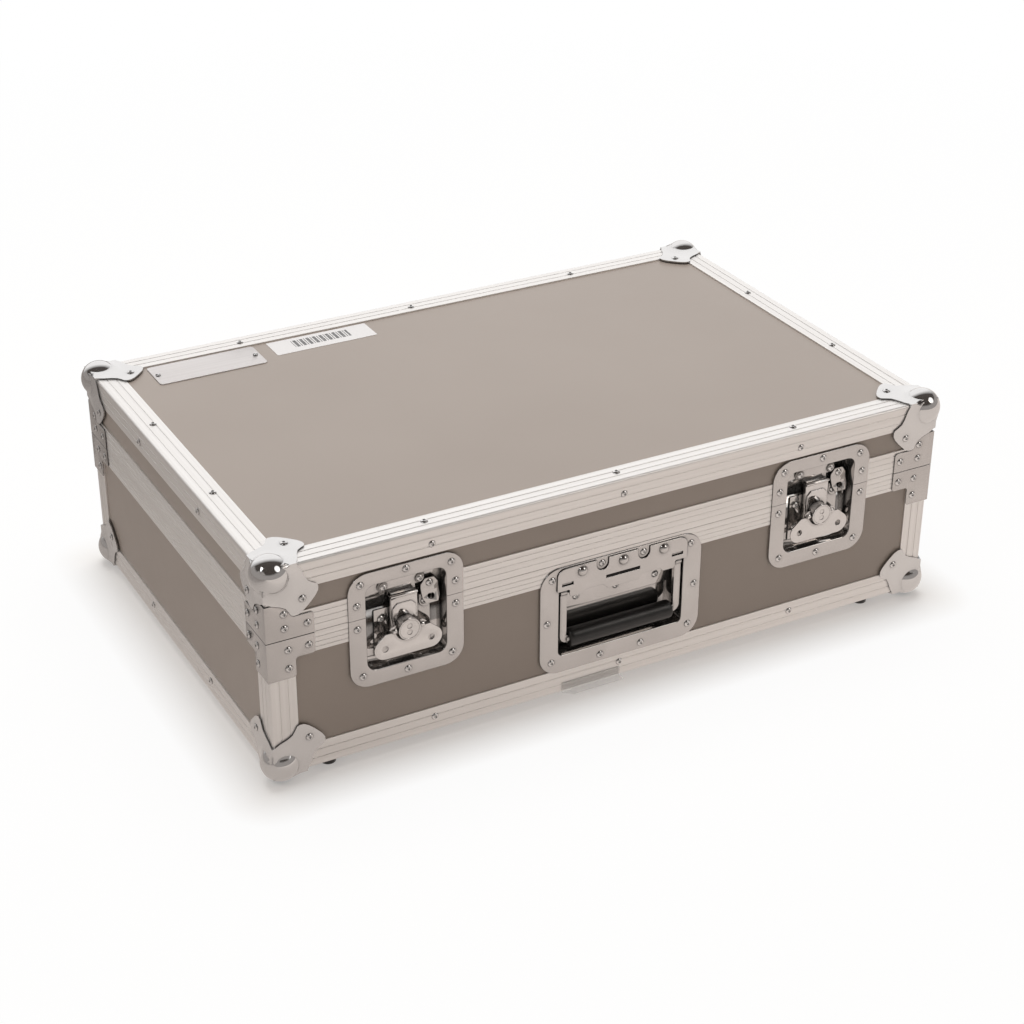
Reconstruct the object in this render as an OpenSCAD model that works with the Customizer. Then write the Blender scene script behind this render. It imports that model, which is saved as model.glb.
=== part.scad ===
// Road case for a guitar pedalboard. Laminated panels are held in riveted aluminium edging with
// ball corners. The lid hinges at the back, two recessed turn latches hold it in front, and a
// recessed sprung handle sits between them.
// The origin is on the ground under the middle of the case. +X is the length of the case, the
// front with its latches faces -Y, and +Z is up.

/* [Case] */
// Length of the closed case over its edging
case_l = 700; // [660:1:760]
// Depth of the closed case over its edging, front to back
case_d = 452; // [420:1:500]
// Height of the closed case over its edging, without the feet
case_h = 209; // [200:1:230]
// Height of the base half, from its underside to the seam
base_h = 138.5; // [134:0.5:150]
// Thickness of the laminated panels
panel_t = 7; // [6:0.5:8]
// Thickness of the foam lining
foam_t = 15; // [12:1:25]

/* [Edging] */
// Width of each flange of the corner extrusions
edge_w = 25; // [24:0.5:26]
// Wall thickness of all the extrusions
edge_t = 1.5; // [1:0.1:1.8]
// Radius of the long outer corners of the extrusions
edge_r = 2.5; // [2:0.1:3]
// Width of the grooves drawn along the extrusions
groove_w = 0.9; // [0.5:0.1:1.2]
// Depth of the grooves drawn along the extrusions
groove_deep = 0.4; // [0.2:0.05:0.6]
// Height of the lid band above the seam
lid_band = 23.5; // [23:0.5:26]
// Height of the base band below the seam
base_band = 19.5; // [19:0.5:22]
// Gap between the two bands when the case is shut
seam_gap = 0.4; // [0.3:0.1:0.8]
// Depth of the channel in the base band
channel_deep = 4.5; // [4:0.1:5.5]
// How far the tongue of the lid band reaches into the channel
tongue_deep = 3.2; // [2.5:0.1:3.5]
// Width of the tongue at its root
tongue_w = 4; // [3:0.1:4.4]
// Height of the inner flange of both bands
inner_flange_h = 10; // [8:0.5:12]

/* [Ball corners] */
// Radius of the ball on each corner
ball_r = 18; // [17.5:0.1:18.5]
// Depth of the centre of the ball inside each face
ball_in = 9.5; // [9.2:0.1:9.7]
// Thickness of the legs of the corner
leg_t = 1.5; // [1.2:0.1:1.8]
// Farthest reach of the legs from the corner
leg_reach = 49; // [47:0.5:49.5]
// Radius of the cone between leg and ball, at the leg
skirt_r = 17.6; // [16.8:0.1:17.8]
// Radius of that cone at the ball
skirt_top_r = 13; // [12.9:0.1:13.4]
// Height of that cone over the leg
skirt_h = 1.7; // [1.5:0.1:1.7]
// Place of the leg rivet, from both edges
leg_rivet_in = 34; // [33:0.5:35]

/* [Corner braces] */
// Thickness of the braces on each side of the seam
brace_t = 1.2; // [1:0.1:1.5]
// Reach of the wide arm along the seam
brace_w = 44; // [42:0.5:48]
// Width of the upright arm
brace_post_w = 25.5; // [25:0.5:28]
// Height of the wide arm of the lid brace
lid_brace_arm = 21; // [19:0.5:21.5]
// Full height of the lid brace
lid_brace_h = 36; // [34:0.5:38]
// Height of the wide arm of the base brace
base_brace_arm = 20; // [18:0.5:22]
// Full depth of the base brace
base_brace_h = 39.5; // [37:0.5:44]
// Gap between a brace and the leg above it
brace_gap = 0.5; // [0.3:0.1:1]

/* [Rivets and screws] */
// Diameter of the rivet heads
rivet_d = 7; // [6.5:0.1:7.4]
// Height of the rivet heads
rivet_h = 1.8; // [1.4:0.1:2]
// Diameter of the hollow in each rivet head
rivet_hole_d = 2.6; // [2:0.1:3]
// Depth of the hollow in each rivet head
rivet_hole_deep = 1; // [0.6:0.1:1.2]
// Distance of the outer rivets of the long strips from the middle
strip_rivet_x = 193; // [180:1:200]
// Distance of the rivets of the short strips from the middle
strip_rivet_y = 76.5; // [70:0.5:90]
// Distance of the strip rivets from the edge of the case
strip_rivet_in = 15; // [13:0.5:16]

/* [Latch dishes] */
// Distance of each latch from its end of the case
latch_in = 131; // [115:1:140]
// Width of the dish flange
latch_w = 111; // [110:1:113]
// Height of the dish flange above the seam
latch_up = 44; // [43.5:0.5:45]
// Depth of the dish flange below the seam
latch_down = 71; // [70.5:0.5:72]
// Corner radius of the dish flange
latch_r = 19; // [17:0.5:21]
// Width of the recess
recess_w = 77.5; // [76:0.5:78]
// Height of the recess above the seam
recess_up = 30.5; // [30:0.5:31.5]
// Depth of the recess below the seam
recess_down = 55.5; // [55:0.5:57]
// Corner radius of the recess
recess_r = 9; // [8:0.5:10]
// Depth of the recess behind the flange
recess_deep = 11; // [11:0.1:11.4]
// Thickness of the pressed steel of the dishes
dish_t = 1.2; // [1:0.1:1.3]

/* [Latch mechanism] */
// Height of the turning axis below the seam
cam_down = 20; // [19.8:0.1:20.2]
// Diameter of the turning boss
boss_d = 21; // [20:0.1:21.4]
// How far the boss stands out of the case front
boss_out = 6.5; // [6:0.1:7]
// Diameter of the shaft behind the boss
shaft_d = 8; // [7:0.1:8.4]
// Diameter of the eccentric disc
cam_d = 14; // [13:0.1:14.2]
// Offset of the eccentric disc, half the stroke of the hook
cam_throw = 4; // [3.4:0.1:4.1]
// Width of the hook channel
hook_w = 26; // [25.8:0.1:26.2]
// Height of the hook above the seam
hook_up = 10; // [9.5:0.1:10.5]
// Depth of the hook below the seam
hook_down = 45; // [44:0.5:46]
// Thickness of the hook and keeper steel
hook_t = 1.2; // [1:0.1:1.2]
// Width of the raised pad on the hook
pad_w = 22; // [20:0.1:24]
// Height of the raised pad above the seam
pad_up = 2; // [1:0.1:3]
// Height of the turning wing below the axis
wing_low = 26.5; // [26.4:0.1:26.8]
// Radius of the two lobes of the wing
wing_lobe_r = 10.5; // [9.5:0.1:10.6]
// Thickness of the wing
wing_t = 1.2; // [1:0.1:1.4]
// Distance of the lobe holes from the middle of the wing
wing_hole_x = 22.4; // [22:0.1:23]
// Distance of the lobe holes below the axis
wing_hole_low = 16; // [15:0.1:17]
// Diameter of the lobe holes
wing_hole_d = 6; // [4:0.1:6.2]
// Diameter of the cross pin that the wing folds on
pin_d = 3; // [2.6:0.1:3.2]

/* [Padlock tabs] */
// Distance of the tabs from the middle of the latch
tab_x = 26.5; // [26:0.1:27]
// Width of the lid tab
tab_w = 17; // [16:0.1:17.4]
// Thickness of the tabs
tab_t = 1.5; // [1.2:0.1:1.5]
// Length of the bent leaf of the lid tab
tab_leaf = 14; // [13.5:0.1:14.2]
// Angle of the bent leaf from the upright
tab_bend = 24; // [22:0.5:25]
// Distance of the shackle hole from the bend
tab_hole_down = 8; // [7.8:0.1:8.2]
// Radius of the split ring, at the middle of its wire
ring_r = 3.8; // [3.7:0.05:3.85]
// Thickness of the split ring wire
ring_wire = 1.1; // [0.9:0.05:1.1]

/* [Handle] */
// Height of the middle of the handle dish over the underside of the case
handle_up = 79; // [78:0.5:80]
// Height of the handle dish flange
handle_h = 112; // [111:0.5:113]
// Corner radius of the handle dish flange
handle_r = 20; // [18:0.5:22]
// Height of the handle recess
grip_recess_h = 72; // [71.5:0.5:73]
// Depth of the handle recess
grip_recess_deep = 16; // [15.8:0.1:17]
// Thickness of the cover plate over the pivots
cover_t = 1.5; // [1.2:0.1:1.8]
// Diameter of the rubber grip
grip_d = 18; // [17:0.1:20]
// Length of the rubber grip
grip_l = 110; // [96:0.5:130]
// Diameter of the steel core inside the grip
core_d = 8; // [7:0.1:9]
// Distance between the pivot and the grip
bail_drop = 50.5; // [50:0.1:51]
// Width of the bail arms
bail_w = 7; // [6.5:0.1:7.2]
// Thickness of the bail arms
bail_t = 4; // [3.6:0.1:4]
// Diameter of the pivot rod
rod_d = 4; // [3.6:0.1:4]

/* [Feet and hinges] */
// Height of the rubber feet
foot_h = 10; // [9.5:0.5:14]
// Diameter of the rubber feet
foot_d = 16; // [15:0.5:17]
// Distance of the feet from the ends of the case
foot_in_x = 58; // [58:0.5:90]
// Distance of the feet from the front and back of the case
foot_in_y = 16.5; // [14:0.5:16.5]
// Distance of the hinges from the middle of the case
hinge_x = 200; // [150:1:250]
// Length of each hinge
hinge_l = 60; // [50:1:80]
// Height of each hinge leaf from the seam
hinge_leaf_h = 19; // [17:0.5:19.4]
// Thickness of the hinge leaves
hinge_t = 1.5; // [1.2:0.1:1.8]
// Diameter of the hinge knuckles
knuckle_d = 8; // [7:0.1:8]
// Diameter of the hinge pin
hinge_pin_d = 4; // [3:0.1:4.4]
// Distance of the hinge axis behind the case
hinge_out = 4.5; // [4.4:0.1:4.5]

/* [Plates and label] */
// Length of the blank plate on the lid
plate_l = 113; // [90:1:130]
// Width of the blank plate
plate_w = 43; // [36:1:46]
// Thickness of the blank plate
plate_t = 1; // [0.6:0.1:1.5]
// Corner radius of the blank plate
plate_r = 4; // [2:0.5:8]
// Distance of the plate from the left end of the case
plate_in_x = 52; // [50:1:60]
// Distance of the plate from the back of the case
plate_in_y = 27.5; // [27:0.5:40]
// Length of the paper label
label_l = 110; // [80:1:130]
// Width of the paper label
label_w = 32; // [20:1:36]
// Thickness of the paper label
label_t = 0.3; // [0.2:0.1:0.5]
// Gap between the plate and the label
label_gap = 15; // [8:1:20]
// Length of the clear tab under the front edge
clip_l = 62; // [50:1:70]
// Height of the clear tab against the front
clip_h = 10; // [8:0.5:12]
// How far the clear tab stands out
clip_out = 8.4; // [6:0.1:8.4]
// Thickness of the clear tab
clip_t = 1.2; // [1:0.1:1.5]

/* [Hidden] */
$fn = 72;

// Overrun of every cut past the face it leaves
cut = 1;
// Gap between pieces that pass each other
run_gap = 0.3;
// Gap round the recesses in panels, bands and foam
pocket_gap = 0.6;
// Radial gap of a pin or shaft in its bore
bore_gap = 0.05;

// Main planes
half_l = case_l / 2;
half_d = case_d / 2;
floor_z = foot_h;
top_z = floor_z + case_h;
seam_z = floor_z + base_h;
skin_in = edge_t;
wall_in = edge_t + panel_t;
band_deep = wall_in + edge_t;
mitre_reach = edge_w + panel_t;
groove_shares = [0.35, 0.68];
band_groove_shares = [0.3, 0.55, 0.8];

// Legs of the ball corner, as shares of their reach from the corner, down one edge and up the other
leg_shares = [
    [0.63, 0], [0.70, 0.12], [0.755, 0.27], [0.815, 0.375], [0.90, 0.43], [0.975, 0.47], [1, 0.52],
    [0.995, 0.60], [0.945, 0.69], [0.86, 0.785], [0.785, 0.86], [0.69, 0.945], [0.60, 0.995],
    [0.52, 1], [0.47, 0.975], [0.43, 0.90], [0.375, 0.815], [0.27, 0.755], [0.12, 0.70], [0, 0.63]
];

full_turn = 360;
half_turn = 180;
latch_x = case_l / 2 - latch_in;

// Latch depths, outwards from the case front
latch_plate_t = 1.5;
hook_channel = 4.4;
pad_t = 1.2;
pad_down = 43;
pad_chamfer = 4;
yoke_gap = 1;
yoke_t = 1.6;
bead_d = 3;
slot_gap = 0.6;
cam_z = seam_z - cam_down;
recess_floor = -recess_deep;
latch_plate_front = recess_floor + latch_plate_t;
hook_back = latch_plate_front + run_gap;
hook_front = hook_back + hook_channel;
pad_front = hook_front + pad_t;
boss_back = pad_front + run_gap;
wing_back = dish_t + 2 * run_gap;
pin_out = wing_back + wing_t / 2;

// Rivets of the latch dish, from the middle of the latch and the seam
dish_rivet_x = 43.7;
dish_side_rivet_x = 47.5;
dish_rivet_up = 33.8;
dish_top_rivet_up = 38.9;
dish_side_rivet_up = 13.7;
dish_rivet_down = 58.9;
dish_low_rivet_down = 63.5;
dish_side_rivet_down = 9.5;

// Turning boss
collar_l = 3.3;
collar_step = 0.5;
boss_face_rim = 1.2;
boss_face_deep = 0.3;
dimple_d = 5;
dimple_x = 3.2;
dimple_deep = 0.5;
pin_l = 31.2;

// Wing outline before its corners are rounded
wing_foot = 50.4;
wing_ear_x = 14.5;
wing_ear_up = 4.8;
wing_ear_r = 3;
wing_bay_gap = 1.7;
wing_knuckle_d = 5.4;
wing_knuckle_l = 4;
wing_knuckle_in = 11.2;

// Latch plate behind the mechanism
latch_plate_w = 54;
latch_plate_up = 2;
latch_plate_low = 28;
latch_plate_rivet_x = 20.5;
latch_plate_rivet_up = 8;
latch_plate_rivet_down = 15;

// Keeper in the lid dish
keeper_w = 27;
keeper_ear_r = 5;
keeper_ledge_w = 22.4;
keeper_t = 1.2;
keeper_boss_x = 17.5;
keeper_boss_up = 19.5;
keeper_boss_d = 8;
keeper_boss_h = 1.5;

// Padlock tabs
tab_bend_up = 8;
tab_top_up = 17.5;
tab_shoulder_up = 12;
tab_top_w = 9;
tab_spacer_d = 8;
tab_rivet_up = 13;
tab_hole_w = 6.5;
tab_hole_h = 4.5;
tab_hole_r = 1.9;
tab_foot_w = 10;
base_tab_x = 22.5;
base_tab_w = 13;
base_tab_up = 3;
base_tab_down = 10;
base_tab_hole_x = 25.6;
base_tab_hole_d = 4.4;
base_tab_rivet_x = 20.9;
base_tab_rivet_down = 4;
ring_seat_gap = 0.15;

// Handle places, up from the middle of its dish and outwards from the case front
handle_z = floor_z + handle_up;
grip_recess_drop = 2;
grip_arm_gap = 6;
arm_recess_gap = 2;
handle_flange_w = 19.5;
bail_x = grip_l / 2 + grip_arm_gap;
grip_recess_w = 2 * bail_x + bail_w + 2 * arm_recess_gap;
handle_w = grip_recess_w + 2 * handle_flange_w;
recess_half_w = grip_recess_w / 2;
grip_recess_r = 5;
grip_out = 6.5;
grip_p = grip_out - grip_d / 2;
pivot_down = 6;
pivot_p = -2.2;
pivot_z = handle_z - grip_recess_drop + grip_recess_h / 2 - pivot_down;
grip_z = pivot_z - bail_drop;
cover_overlap = 2.5;
cover_w = grip_recess_w + 2 * cover_overlap;
cover_top = 54.5;
cover_end_r = 8;
cover_tab_z = 22.5;
cover_tab_x = 16;
cover_tab_slope = 5;
cover_low_z = 27.5;
cover_lobe_in = 26.5;
cover_lobe_x = recess_half_w - cover_lobe_in;
cover_lobe_z = 24;
cover_lobe_slope = 3;
cover_notch_in = 10.3;
cover_notch_x = recess_half_w - cover_notch_in;
cover_notch_z = 31.5;
cover_point_r = 1.5;
cover_slot_x = 18;
cover_slot_z = 34.8;
cover_end_slot_in = 8;
cover_end_slot_x = recess_half_w - cover_end_slot_in;
cover_end_slot_w = 12;
cover_end_slot_z = 38;
cover_slot_h = 3;
cover_bolt_in = 23.3;
cover_bolt_x = recess_half_w - cover_bolt_in;
cover_bolt_z = 48;
bolt_d = 10;
bolt_h = 3.6;
cover_bay_r = 6.5;
lug_in = 16.5;
lug_x = recess_half_w - lug_in;
lug_t = 2;
lug_low = 4;
lug_deep = 5.5;
eye_d = 6.6;
rod_end_gap = 1.2;
rod_l = grip_recess_w - 2 * rod_end_gap;
coil_in = 16;
coil_end_gap = 2;
coil_l = lug_x - coil_in - coil_end_gap;
coil_wall = 0.6;
coil_gap = 0.2;
spring_box_gap = 1.5;
spring_box_w = 2 * bail_x - bail_w - 2 * spring_box_gap;
spring_box_low = 4;
spring_box_out = 6;
spring_box_t = 1.5;
spring_box_rivet_in = 13.5;
spring_box_rivet_x = spring_box_w / 2 - spring_box_rivet_in;
spring_box_rivet_z = 14.5;
bail_foot_h = 7;
bail_foot_r = 8;
bail_inner_r = 2;
grip_end_r = 4;
grip_waist = 0.6;
grip_swell_share = 0.33;
handle_rivet_out = 7.5;
handle_rivet_x = recess_half_w + handle_rivet_out;
handle_rivet_up = 45;
handle_rivet_down = 43;
handle_side_rivet_out = 12.5;
handle_side_rivet_x = recess_half_w + handle_side_rivet_out;
handle_low_rivet_x = 22;
handle_low_rivet_down = 48.7;
handle_top_rivet_up = 49.8;

// Braces, rivets from the corner of the case and the seam
lid_brace_rivets = [[16.4, 25.5], [16.5, 11], [37.7, 11.5]];
base_brace_rivets = [[18.8, -10.8], [37.9, -10.6], [18.8, -29.3]];
brace_corner_r = 3;

// Feet, hinges, clear tab and plate
foot_top_d_gap = 1;
foot_seat_d = 9;
foot_seat_deep = 6;
foot_hole_d = 4.4;
screw_head_d = 8;
screw_head_h = 2.4;
screw_d = 4;
hinge_parts = 5;
hinge_rivet_x = 20;
hinge_rivet_z = 12;
clip_chamfer = 9;
clip_chamfer_out = 6.5;
plate_screw_d = 5;
plate_screw_h = 1.2;
plate_screw_in = 5;
plate_slot_w = 0.8;
plate_slot_deep = 0.5;

// Foam stands back from the flanges of the bands
base_foam_top = seam_z - channel_deep - edge_t - inner_flange_h;
lid_foam_low = seam_z + seam_gap / 2 + inner_flange_h;

// Points of one corner b of an outline between a and c, rounded to radius r with n chords
function turned(a, b, c, r, n) =
    let (
        u = (a - b) / norm(a - b),
        v = (c - b) / norm(c - b),
        half = acos(u * v) / 2,
        start = b + u * r / tan(half),
        end = b + v * r / tan(half),
        mid = b + (u + v) / norm(u + v) * r / sin(half),
        from = atan2(start.y - mid.y, start.x - mid.x),
        to = atan2(end.y - mid.y, end.x - mid.x),
        swing = (to - from + full_turn + half_turn) % full_turn - half_turn
    )
    [for (i = [0 : n]) mid + r * [cos(from + swing * i / n), sin(from + swing * i / n)]];

// An outline with each corner rounded to its own radius, where zero leaves it sharp
function rounded(pts, radii, n = 10) =
    let (count = len(pts))
    [
        for (i = [0 : count - 1])
            each radii[i] > 0
                ? turned(pts[(i + count - 1) % count], pts[i], pts[(i + 1) % count], radii[i], n)
                : [pts[i]]
    ];

// Drawing planes: x along the face, y up, z outwards
module front() {
    translate([0, -half_d, 0]) rotate([90, 0, 0]) children();
}

module front_and_back() {
    for (m = [0, 1]) mirror([0, m, 0]) front() children();
}

module back() {
    mirror([0, 1, 0]) front() children();
}

module both_ends() {
    for (m = [0, 1]) mirror([m, 0, 0]) translate([-half_l, 0, 0]) rotate([90, 0, -90]) children();
}

module both_latches() {
    for (x = [-latch_x, latch_x]) translate([x, 0, 0]) children();
}

// The four upright corners of the case, with x and y inwards from each
module four_corners() {
    for (mx = [0, 1], my = [0, 1])
        mirror([mx, 0, 0]) mirror([0, my, 0]) translate([-half_l, -half_d, 0]) children();
}

// Plan of the front or the end pieces, mitred at 45 degrees
module long_mitre() {
    for (m = [0, 1])
        mirror([0, m, 0]) linear_extrude(top_z + cut) polygon([
            [-half_l - cut, -half_d - cut],
            [half_l + cut, -half_d - cut],
            [half_l - mitre_reach, -half_d + mitre_reach],
            [-half_l + mitre_reach, -half_d + mitre_reach]
        ]);
}

module end_mitre() {
    for (m = [0, 1])
        mirror([m, 0, 0]) linear_extrude(top_z + cut) polygon([
            [-half_l - cut, -half_d - cut],
            [-half_l - cut, half_d + cut],
            [-half_l + mitre_reach, half_d - mitre_reach],
            [-half_l + mitre_reach, -half_d + mitre_reach]
        ]);
}

// Rectangle with true round corners, centred
module round_rect(w, h, r) {
    square([w - 2 * r, h], center = true);
    square([w, h - 2 * r], center = true);
    for (x = [-1, 1], y = [-1, 1]) translate([x * (w / 2 - r), y * (h / 2 - r)]) circle(r);
}

// Corner extrusion in section, with its outer corner at the origin
module edge_section() {
    difference() {
        union() {
            square([edge_w, edge_t]);
            square([edge_t, edge_w]);
        }
        difference() {
            square(edge_r);
            translate([edge_r, edge_r]) circle(edge_r);
        }
        for (share = groove_shares) {
            translate([edge_w * share - groove_w / 2, -cut]) square([groove_w, cut + groove_deep]);
            translate([-cut, edge_w * share - groove_w / 2]) square([cut + groove_deep, groove_w]);
        }
    }
}

// Band of the base in section: x inwards from the face, y up from the seam
module base_band_section() {
    difference() {
        union() {
            translate([0, -base_band]) square([edge_t, base_band - seam_gap / 2]);
            translate([0, -channel_deep - edge_t]) square([band_deep, edge_t]);
            translate([wall_in, -channel_deep - edge_t - inner_flange_h])
                square([edge_t, inner_flange_h + edge_t + channel_deep - seam_gap / 2]);
        }
        for (share = band_groove_shares)
            translate([-cut, -base_band * share - groove_w / 2]) square([cut + groove_deep, groove_w]);
    }
}

// Band of the lid in section, with its tapered tongue
module lid_band_section() {
    difference() {
        union() {
            translate([0, seam_gap / 2]) square([edge_t, lid_band - seam_gap / 2]);
            translate([0, seam_gap / 2]) square([band_deep, edge_t]);
            translate([wall_in, seam_gap / 2]) square([edge_t, inner_flange_h]);
            translate([band_deep / 2, seam_gap / 2]) polygon([
                [-tongue_w / 2, 0],
                [-tongue_w / 4, -tongue_deep],
                [tongue_w / 4, -tongue_deep],
                [tongue_w / 2, 0]
            ]);
        }
        for (share = band_groove_shares)
            translate([-cut, lid_band * share - groove_w / 2]) square([cut + groove_deep, groove_w]);
    }
}

// Runs a section along the front and back, or along both ends
module along_length(z) {
    for (m = [0, 1])
        mirror([0, m, 0])
            translate([-half_l, -half_d, z])
                rotate([90, 0, 90])
                    linear_extrude(case_l)
                        children();
}

module along_ends(z) {
    for (m = [0, 1])
        mirror([m, 0, 0])
            translate([-half_l, half_d, z])
                rotate([90, 0, 0])
                    linear_extrude(case_d)
                        children();
}

// Room for the recesses of the latches and the handle
module recess_room() {
    side = dish_t + pocket_gap;
    front() {
        both_latches()
            translate([
                -recess_w / 2 - side,
                seam_z - recess_down - side,
                -recess_deep - side
            ])
                cube([recess_w + 2 * side, recess_down + recess_up + 2 * side, recess_deep + side + cut]);
        translate([
            -grip_recess_w / 2 - side,
            handle_z - grip_recess_drop - grip_recess_h / 2 - side,
            -grip_recess_deep - side
        ])
            cube([grip_recess_w + 2 * side, grip_recess_h + 2 * side, grip_recess_deep + side + cut]);
    }
}

// Rivet head with its hollow, seated at z = 0
module rivet() {
    cap_r = (rivet_d * rivet_d / 4 + rivet_h * rivet_h) / (2 * rivet_h);
    rotate_extrude() difference() {
        intersection() {
            translate([0, rivet_h - cap_r]) circle(cap_r);
            square([rivet_d / 2, rivet_h]);
        }
        translate([0, rivet_h - rivet_hole_deep]) square([rivet_hole_d / 2, rivet_hole_deep + cut]);
    }
}

module rivets(places, out) {
    for (q = places) translate([q[0], q[1], out]) rivet();
}

function mirrored(places) = [for (q = places, s = [-1, 1]) [s * q[0], q[1]]];

// Floor, walls and lid panels
module floor_panel() {
    color("#8b8079")
        translate([-half_l + skin_in, -half_d + skin_in, floor_z + skin_in])
            cube([case_l - 2 * skin_in, case_d - 2 * skin_in, panel_t]);
}

module top_panel() {
    color("#8b8079")
        translate([-half_l + skin_in, -half_d + skin_in, top_z - wall_in])
            cube([case_l - 2 * skin_in, case_d - 2 * skin_in, panel_t]);
}

module long_panel(z0, z1) {
    color("#8b8079")
        translate([-half_l + skin_in, -half_d + skin_in, z0])
            cube([case_l - 2 * skin_in, panel_t, z1 - z0]);
}

module end_panel(z0, z1) {
    color("#8b8079")
        translate([-half_l + skin_in, -half_d + wall_in, z0])
            cube([panel_t, case_d - 2 * wall_in, z1 - z0]);
}

base_wall_low = floor_z + wall_in;
base_wall_high = seam_z - channel_deep - edge_t;
lid_wall_low = seam_z + seam_gap / 2 + edge_t;
lid_wall_high = top_z - wall_in;

module base_front_panel() {
    difference() {
        long_panel(base_wall_low, base_wall_high);
        recess_room();
    }
}

module base_back_panel() {
    mirror([0, 1, 0]) long_panel(base_wall_low, base_wall_high);
}

module base_left_panel() {
    end_panel(base_wall_low, base_wall_high);
}

module base_right_panel() {
    mirror([1, 0, 0]) end_panel(base_wall_low, base_wall_high);
}

module lid_front_panel() {
    difference() {
        long_panel(lid_wall_low, lid_wall_high);
        recess_room();
    }
}

module lid_back_panel() {
    mirror([0, 1, 0]) long_panel(lid_wall_low, lid_wall_high);
}

module lid_left_panel() {
    end_panel(lid_wall_low, lid_wall_high);
}

module lid_right_panel() {
    mirror([1, 0, 0]) end_panel(lid_wall_low, lid_wall_high);
}

// Corner extrusions along the edges of the base and the lid, and the upright posts
module long_edges() {
    color("#cfc8c2") intersection() {
        along_length(0) edge_section();
        translate([0, 0, -cut]) long_mitre();
    }
}

module end_edges() {
    color("#cfc8c2") intersection() {
        along_ends(0) edge_section();
        translate([0, 0, -cut]) end_mitre();
    }
}

module base_long_edges() {
    translate([0, 0, floor_z]) long_edges();
}

module base_end_edges() {
    translate([0, 0, floor_z]) end_edges();
}

module lid_long_edges() {
    translate([0, 0, top_z]) mirror([0, 0, 1]) long_edges();
}

module lid_end_edges() {
    translate([0, 0, top_z]) mirror([0, 0, 1]) end_edges();
}

module corner_posts(z0, z1) {
    color("#cfc8c2")
        four_corners()
            translate([0, 0, z0]) linear_extrude(z1 - z0) edge_section();
}

module base_corner_posts() {
    corner_posts(floor_z + edge_w, seam_z - base_band);
}

module lid_corner_posts() {
    corner_posts(seam_z + lid_band, top_z - edge_w);
}

// Bands on both sides of the seam, with tongue and channel
module half_plane(front_side) {
    translate([-half_l - cut, front_side ? -half_d - cut : 0, 0])
        cube([case_l + 2 * cut, half_d + cut, top_z]);
}

module base_front_band() {
    color("#cfc8c2") difference() {
        intersection() {
            along_length(seam_z) base_band_section();
            long_mitre();
            half_plane(true);
        }
        recess_room();
    }
}

module base_back_band() {
    color("#cfc8c2") intersection() {
        along_length(seam_z) base_band_section();
        long_mitre();
        half_plane(false);
    }
}

module base_end_bands() {
    color("#cfc8c2") intersection() {
        along_ends(seam_z) base_band_section();
        end_mitre();
    }
}

module lid_front_band() {
    color("#cfc8c2") difference() {
        intersection() {
            along_length(seam_z) lid_band_section();
            long_mitre();
            half_plane(true);
        }
        recess_room();
    }
}

module lid_back_band() {
    color("#cfc8c2") intersection() {
        along_length(seam_z) lid_band_section();
        long_mitre();
        half_plane(false);
    }
}

module lid_end_bands() {
    color("#cfc8c2") intersection() {
        along_ends(seam_z) lid_band_section();
        end_mitre();
    }
}

// Ball corners: the box corner is at the origin and the case lies on the positive side
module leg_plate(reach, t) {
    translate([0, 0, -t])
        linear_extrude(t)
            polygon(concat(
                [[-t, -t], [leg_shares[0][0] * reach, -t]],
                [for (q = leg_shares) q * reach],
                [[-t, leg_shares[0][0] * reach]]
            ));
}

// The skirt is left out beside the corner, where the ball alone shows
module corner_leg() {
    skirt_open = leg_t + ball_in / 3 + cut;
    leg_plate(leg_reach, leg_t);
    intersection() {
        translate([ball_in, ball_in, -leg_t - skirt_h]) cylinder(h = skirt_h, r1 = skirt_top_r, r2 = skirt_r);
        difference() {
            translate([-leg_t, -leg_t, -leg_t - skirt_h]) cube(leg_reach);
            translate([-leg_t - cut, -leg_t - cut, -leg_t - skirt_h - cut])
                cube([skirt_open, skirt_open, skirt_h + 2 * cut]);
        }
    }
}

module ball_corner() {
    color("#d8d8da") difference() {
        union() {
            translate([ball_in, ball_in, ball_in]) sphere(ball_r);
            corner_leg();
            mirror([1, 0, -1]) corner_leg();
            mirror([0, 1, -1]) corner_leg();
        }
        cube(leg_reach + cut);
    }
}

module base_ball_corners() {
    four_corners() translate([0, 0, floor_z]) ball_corner();
}

module lid_ball_corners() {
    four_corners() translate([0, 0, top_z]) mirror([0, 0, 1]) ball_corner();
}

// Braces wrapped round the corners on each side of the seam
module brace(outline) {
    color("#cfcac6")
        for (m = [0, 1])
            mirror([m, -m, 0]) rotate([90, 0, 0]) linear_extrude(brace_t) polygon(outline);
}

module base_corner_braces() {
    outline = rounded(
        [
            [-brace_t, -seam_gap / 2],
            [-brace_t, -base_brace_h],
            [brace_post_w, -base_brace_h],
            [brace_post_w, -base_brace_arm],
            [brace_w, -base_brace_arm],
            [brace_w, -seam_gap / 2]
        ],
        [0, 0, brace_corner_r, brace_corner_r, brace_corner_r, 0]
    );
    four_corners() translate([0, 0, seam_z]) brace(outline);
}

module lid_corner_braces() {
    outline = rounded(
        [
            [-brace_t, seam_gap / 2],
            [brace_w, seam_gap / 2],
            [brace_w, lid_brace_arm],
            [brace_post_w, lid_brace_arm],
            [brace_post_w, lid_brace_h],
            [-brace_t, lid_brace_h]
        ],
        [0, 0, brace_corner_r, 0, 0, 0]
    );
    four_corners() difference() {
        translate([0, 0, seam_z]) brace(outline);
        translate([0, 0, top_z]) mirror([0, 0, 1]) {
            mirror([1, 0, -1]) leg_plate(leg_reach + brace_gap, brace_t + cut);
            mirror([0, 1, -1]) leg_plate(leg_reach + brace_gap, brace_t + cut);
        }
    }
}

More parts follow.
